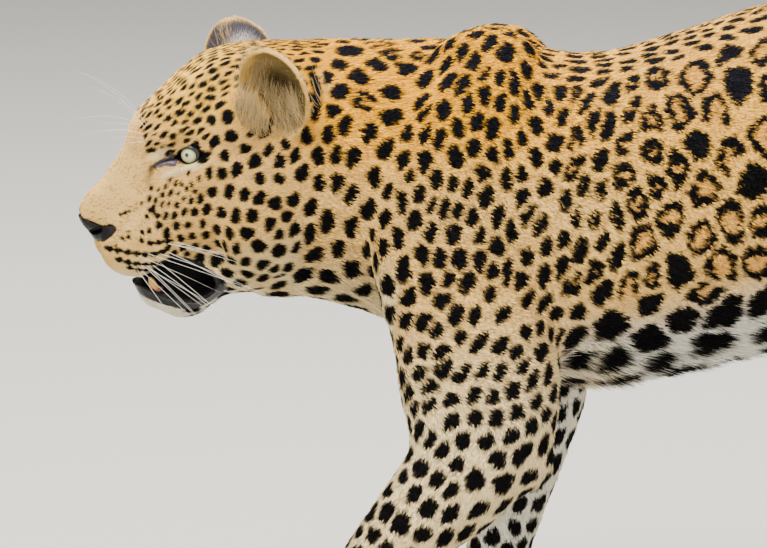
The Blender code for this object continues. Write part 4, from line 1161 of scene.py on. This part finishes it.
# The lids
# The bare black rims of the lids, damp skin that closes on the eye, with the long dark tear duct that runs
# towards the nose. Each rim is one closed band between the ball and the edge of the skin.
LID_INNER = (0.0130, 0.0094, 0.0086, 0.0083)
LID_OUTER = (0.0172, 0.0150, 0.0120, 0.0114)
LID_SECTION = ((0.0, 0.0002), (0.0, 0.0013), (0.12, 0.0019), (0.45, 0.0021), (1.0, 0.0014), (1.0, 0.0002))
LID_STEPS = 44
LEAST_DEPTH = 0.0028
LID_COLOUR = (24, 19, 22)
DUCT_COLOUR = (74, 62, 76)
TROUGH = (
    (0.1110, 0.0330, 0.0042), (0.1070, 0.0325, 0.0040), (0.1030, 0.0316, 0.0034), (0.0955, 0.0298, 0.0026),
    (0.0895, 0.0278, 0.0016), (0.0868, 0.0264, 0.0006),
)
DUCT = (
    (0.1120, 0.0235, 0.0058), (0.1085, 0.0242, 0.0058), (0.1030, 0.0250, 0.0050), (0.0965, 0.0260, 0.0036),
    (0.0915, 0.0263, 0.0022), (0.0885, 0.0263, 0.0010),
)
TUBE_GUIDE = (0.31, 0.2, 0.93)
DUCT_SIDES = 14

skin_tree = BVHTree.FromPolygons(places.tolist(), corner.tolist())
lid_finish = Finish("lid_skin", 0.34, 0.5, 0.15)
lid_finish.bump(lid_finish.noise(700.0), 0.0004, 0.5)
lid_finish.set("Base Color", paint(LID_COLOUR))
duct_finish = Finish("tear_duct", 0.35, 0.4, 0.15)
duct_finish.set("Base Color", paint(DUCT_COLOUR))


def tube_mesh(paths, name, sides, closed=False):
    """Tapered tubes along paths of (points, radii), joined in one mesh."""
    verts, faces = [], []
    for points, radii in paths:
        points = np.asarray(points)
        first = len(verts)
        if closed:
            runs = unit(np.roll(points, -1, axis=0) - np.roll(points, 1, axis=0))
        else:
            runs = unit(np.gradient(points, axis=0))
        guide = np.array(TUBE_GUIDE)
        for point, direction, radius in zip(points, runs, radii):
            one = np.cross(direction, guide)
            one /= np.linalg.norm(one)
            two = np.cross(direction, one)
            guide = np.cross(one, direction)
            for k in range(sides):
                angle = 2 * math.pi * k / sides
                verts.append(point + (one * math.cos(angle) + two * math.sin(angle)) * radius)
        rings_made = len(points)
        for ring in range(rings_made if closed else rings_made - 1):
            a, b = first + ring * sides, first + (ring + 1) % rings_made * sides
            faces += [(a + k, a + (k + 1) % sides, b + (k + 1) % sides, b + k) for k in range(sides)]
        if not closed:
            faces.append(tuple(first + k for k in range(sides))[::-1])
            faces.append(tuple(first + (rings_made - 1) * sides + k for k in range(sides)))
    mesh = bpy.data.meshes.new(name)
    mesh.from_pydata([tuple(v) for v in verts], [], faces)
    faces_out(mesh)
    return placed(name, mesh)


def on_skin(side_place, sign):
    """The point and outward direction of the skin at a side-view place (x, z) of the head, from one side."""
    origin = from_head(np.array([[side_place[0], sign * 0.2, side_place[1]]]))[0]
    ray = -sign * HEAD_AXES[:, 1]
    found, direction, _, _ = skin_tree.ray_cast(Vector(origin), Vector(ray))
    return np.array(found), np.array(direction)


def almond(t, half):
    """A point of the lid's outline, from its reach to front, back, top and foot, pointed at both corners."""
    wide = (half[1] if math.cos(t) > 0 else half[0]) * math.cos(t)
    return wide, (half[2] if math.sin(t) > 0 else half[3]) * math.sin(t) * abs(math.sin(t)) ** 0.25


for side, sign in (("left", -1), ("right", 1)):
    centre, gaze, back, up = eye_frames[side]
    verts, faces = [], []
    wide_section = len(LID_SECTION)
    for step in range(LID_STEPS):
        t = 2 * math.pi * step / LID_STEPS
        inner, outer = almond(t, LID_INNER), almond(t, LID_OUTER)
        for share, lift in LID_SECTION:
            x, z = (i + (o - i) * share for i, o in zip(inner, outer))
            deep = math.sqrt(max((EYE_RADIUS + lift) ** 2 - x * x - z * z, LEAST_DEPTH ** 2))
            verts.append(tuple(centre + back * x + up * z + gaze * deep))
        here_first, next_first = step * wide_section, (step + 1) % LID_STEPS * wide_section
        for k in range(wide_section):
            j = (k + 1) % wide_section
            faces.append((here_first + k, here_first + j, next_first + j, next_first + k))
    mesh = bpy.data.meshes.new("lid_rim_" + side)
    mesh.from_pydata(verts, [], faces)
    faces_out(mesh)
    lid = placed("lid_rim_" + side, mesh)
    lid.data.materials.append(lid_finish.material)
    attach(lid, "root")
    ducts = (("tear_trough_", TROUGH, 0.80, lid_finish), ("tear_duct_", DUCT, 0.70, duct_finish))
    for name, line, sunk, finish in ducts:
        bed = [(on_skin((x, z), sign), radius) for x, z, radius in line]
        path = ([p - n * r * sunk for (p, n), r in bed], [r for _, r in bed])
        duct = tube_mesh([path], name + side, DUCT_SIDES)
        duct.data.materials.append(finish.material)
        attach(duct, "root")

# The nose
# Dark, pebbled leather, with its nostrils cut in the solid. It is drawn finely over the plain nose and keeps
# its shape.
NOSE_VOXEL, NOSE_ROUNDS = 0.0009, 6
NOSE_COLOUR = (8, 7, 8)
NOSE_WORN = (28, 25, 27)

nose = merged_copy(["nose"], "nose_leather")
fuse(nose, NOSE_VOXEL)
nose.modifiers.new("three_cornered", "TRIANGULATE")
apply_all(nose)
move(nose, Web(nose.data).smooth(places_of(nose), NOSE_ROUNDS))
nose.data.shade_smooth()
leather = Finish("nose_leather", 0.45, 0.18, 0.04)
at_nose = leather.node("TexCoord", {}, {}, 3)
pebbles = leather.node("TexVoronoi", {"feature": "SMOOTH_F1"}, {"Vector": at_nose, "Scale": 900.0})
worn = leather.noise(160.0, 3.0, at_nose) * pebbles * 1.6
leather.set("Base Color", leather.mix(worn, paint(NOSE_COLOUR), paint(NOSE_WORN)))
leather.bump(pebbles * -1.0, 0.0006, 0.8)
nose.data.materials.append(leather.material)
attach(nose, "root")
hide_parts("nose")

# The lower canines
# Two worn, stained teeth that stand behind the lower lip, the only ones that the open mouth shows. Each is
# rooted in the jaw, with a cuff of pink gum round its foot.
TOOTH_VOXEL, TOOTH_ROUNDS = 0.0008, 8
TOOTH_STOPS = ((0.0, (150, 82, 20)), (0.45, (206, 138, 38)), (1.0, (224, 180, 88)))
GUM = (120, 62, 62)
GUM_UP_TO, GUM_LIFT = 0.012, 0.004
GUM_REACH, GUM_RADIUS = (0.0058, 0.0054), 0.0021
GUM_STEPS, GUM_SIDES = 20, 8

ivory = Finish("stained_ivory", 0.28, 0.5, 0.3)
blotches = ivory.noise(300.0, 3.0)
tooth_height = ivory.named("crown", 2) + (blotches - 0.5) * 0.5
ivory.set("Base Color", ivory.node("ValToRGB", {"stops": TOOTH_STOPS}, {0: tooth_height}))
ivory.bump(blotches, 0.0003, 0.4)
gum_finish = Finish("gum", 0.3, 0.5, 0.4)
gum_finish.set("Base Color", paint(GUM))
for side, sign in (("left", -1), ("right", 1)):
    tooth = merged_copy(["tooth_lower_" + side], "canine_" + side)
    fuse(tooth, TOOTH_VOXEL)
    apply_all(tooth)
    tooth_places = Web(tooth.data).smooth(places_of(tooth), TOOTH_ROUNDS)
    move(tooth, tooth_places)
    foot = in_head(tooth_places)
    tall = foot[:, 2]
    write(tooth.data, "crown", "FLOAT", (tall - tall.min()) / (tall.max() - tall.min()))
    tooth.data.shade_smooth()
    tooth.data.materials.append(ivory.material)
    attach(tooth, "root")
    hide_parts("tooth_lower_" + side)
    foot_centre = foot[tall < tall.min() + GUM_UP_TO].mean(axis=0)
    cuff = []
    for t in np.linspace(0, 2 * math.pi, GUM_STEPS, endpoint=False):
        off_centre = (GUM_REACH[0] * math.cos(t), GUM_REACH[1] * math.sin(t), GUM_LIFT)
        cuff.append(from_head((foot_centre + off_centre)[None])[0])
    gum = tube_mesh([(cuff, [GUM_RADIUS] * GUM_STEPS)], "gum_" + side, GUM_SIDES, closed=True)
    gum.data.materials.append(gum_finish.material)
    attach(gum, "root")

# The whiskers
# Stiff pale bristles from the four dark rows of each whisker pad, swept back and down, and a few over each
# eye. Each is a thin tapered hair set into the skin.
WHISKERS_A_SIDE = 15
WHISKER_LENGTH = (0.105, 0.200)
WHISKER_RADIUS, WHISKER_TAPER = 0.00023, 0.82
WHISKER_STEPS, WHISKER_SIDES = 9, 5
WHISKER_EMBED = 0.002
ROW_DROPS = (18, 32, 46, 4)
WHISKER_PALE = (238, 234, 226)
BROW_DROP = 0.004
BROW_HAIRS = (
    # Its place in the side view, the way it starts, the way it bends and its length
    (0.0960, 0.0700, (-0.25, 0.06, 1.00), (-0.33, 0.05, -0.14), 0.078),
    (0.0930, 0.0680, (-0.25, 0.06, 1.00), (-0.24, 0.05, -0.12), 0.068),
    (0.0900, 0.0640, (-0.75, 0.10, 0.75), (-0.30, 0.00, -0.30), 0.064),
    (0.0880, 0.0600, (-0.80, 0.12, 0.62), (-0.10, 0.00, -0.20), 0.036),
    (0.0870, 0.0570, (-0.90, 0.12, 0.40), (-0.10, 0.00, -0.15), 0.032),
)

bristle = Finish("whisker_hair", 0.35, 0.5)
bristle.set("Base Color", paint(WHISKER_PALE))
whisker_draw = np.random.default_rng(5)
paths = []


def bristle_path(root, normal, start, bend, length):
    """The points and radii of one bristle that leaves the skin along start and bends away."""
    t = np.linspace(0, 1, WHISKER_STEPS)[:, None]
    start = np.asarray(start) @ HEAD_AXES.T
    start = start / np.linalg.norm(start)
    bend = np.asarray(bend) @ HEAD_AXES.T
    points = root - normal * WHISKER_EMBED + start * length * t + bend * length * t * t
    return points, WHISKER_RADIUS * (1 - WHISKER_TAPER * t[:, 0])


for sign in (-1, 1):
    for k in range(WHISKERS_A_SIDE):
        row = np.array(WHISKER_ROWS[k % 4])
        share = 0.40 + 0.58 * (k // 4) / 3
        steps = range(len(row))
        at = np.array([np.interp(share * (len(row) - 1), steps, row[:, axis]) for axis in (0, 1)])
        root, normal = on_skin(at + whisker_draw.normal(0, 0.0008, 2), sign)
        drop = math.radians(20 + ROW_DROPS[k % 4] + whisker_draw.uniform(-8, 10))
        direction = (math.cos(drop), sign * whisker_draw.uniform(0.30, 0.62), -math.sin(drop))
        length = whisker_draw.uniform(*WHISKER_LENGTH) * (0.70 + 0.30 * share)
        bend = (0.02, -sign * 0.14, -0.16 * whisker_draw.uniform(0.4, 1.3))
        paths.append(bristle_path(root, normal, direction, bend, length))
    for x, z, direction, bend, length in BROW_HAIRS:
        root, normal = on_skin((x, z - BROW_DROP), sign)
        mirror = np.array((1, sign, 1))
        paths.append(bristle_path(root, normal, direction * mirror, bend * mirror, length))
whiskers = tube_mesh(paths, "whiskers", WHISKER_SIDES)
whiskers.data.materials.append(bristle.material)
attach(whiskers, "root")

# The long hair of the ears
# Pale, wispy hair that stands in each ear's cup, longest along its front edge and at its foot. Each wisp is a
# bent, tapered strand set into the hide of the cup.
WISPS = {"left": (1200, 0.97), "right": (480, 0.62)}
WISP_LENGTH = (0.012, 0.024)
WISP_RADIUS, WISP_TAPER = 0.00030, 0.85
WISP_STEPS, WISP_SIDES = 5, 3
WISP_EMBED = 0.001
WISP_DEEP, WISP_PALE = (158, 130, 82), (232, 206, 150)

wisp_finish = Finish("ear_wisps", 0.5, 0.4)
wisp_finish.set("Base Color", wisp_finish.mix(wisp_finish.noise(400.0), paint(WISP_DEEP), paint(WISP_PALE)))
wisp_draw = np.random.default_rng(9)
for side, (middle, opens, wide, upright) in ear_frames.items():
    wisps = []
    forward = -1 if (wide @ (1, 0, 0)) > 0 else 1
    wisp_count, wisp_reach = WISPS[side]
    for _ in range(wisp_count):
        turn = math.radians(wisp_draw.choice((wisp_draw.uniform(100, 260), wisp_draw.uniform(190, 330))))
        reach = wisp_draw.uniform(0.45, wisp_reach)
        a = forward * -math.cos(turn) * reach * EAR_HALF[0]
        b = math.sin(turn) * reach * EAR_HALF[1]
        start = from_head((middle + wide * a + upright * b + opens * 0.02)[None])[0]
        found, normal, _, _ = skin_tree.ray_cast(Vector(start), Vector(HEAD_AXES @ -opens), 0.08)
        if found is None:
            continue
        inward = -(wide * a * 14 + upright * b * 4)
        heading = HEAD_AXES @ (opens * 0.55 + upright * 0.75 + inward * wisp_draw.uniform(0.3, 1.2))
        heading = heading + wisp_draw.normal(0, 0.22, 3)
        length = wisp_draw.uniform(*WISP_LENGTH) * (1.25 - 0.6 * ramp(b, 0.0, 0.04))
        t = np.linspace(0, 1, WISP_STEPS)[:, None]
        curl = HEAD_AXES @ (upright * 0.35 - opens * 0.5)
        strand = (heading / np.linalg.norm(heading) * t + curl * t * t) * length
        points = np.array(found) - np.array(normal) * WISP_EMBED + strand
        wisps.append((points, WISP_RADIUS * (1 - WISP_TAPER * t[:, 0])))
    wisp = tube_mesh(wisps, "ear_wisps_" + side, WISP_SIDES)
    wisp.data.materials.append(wisp_finish.material)
    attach(wisp, "root")
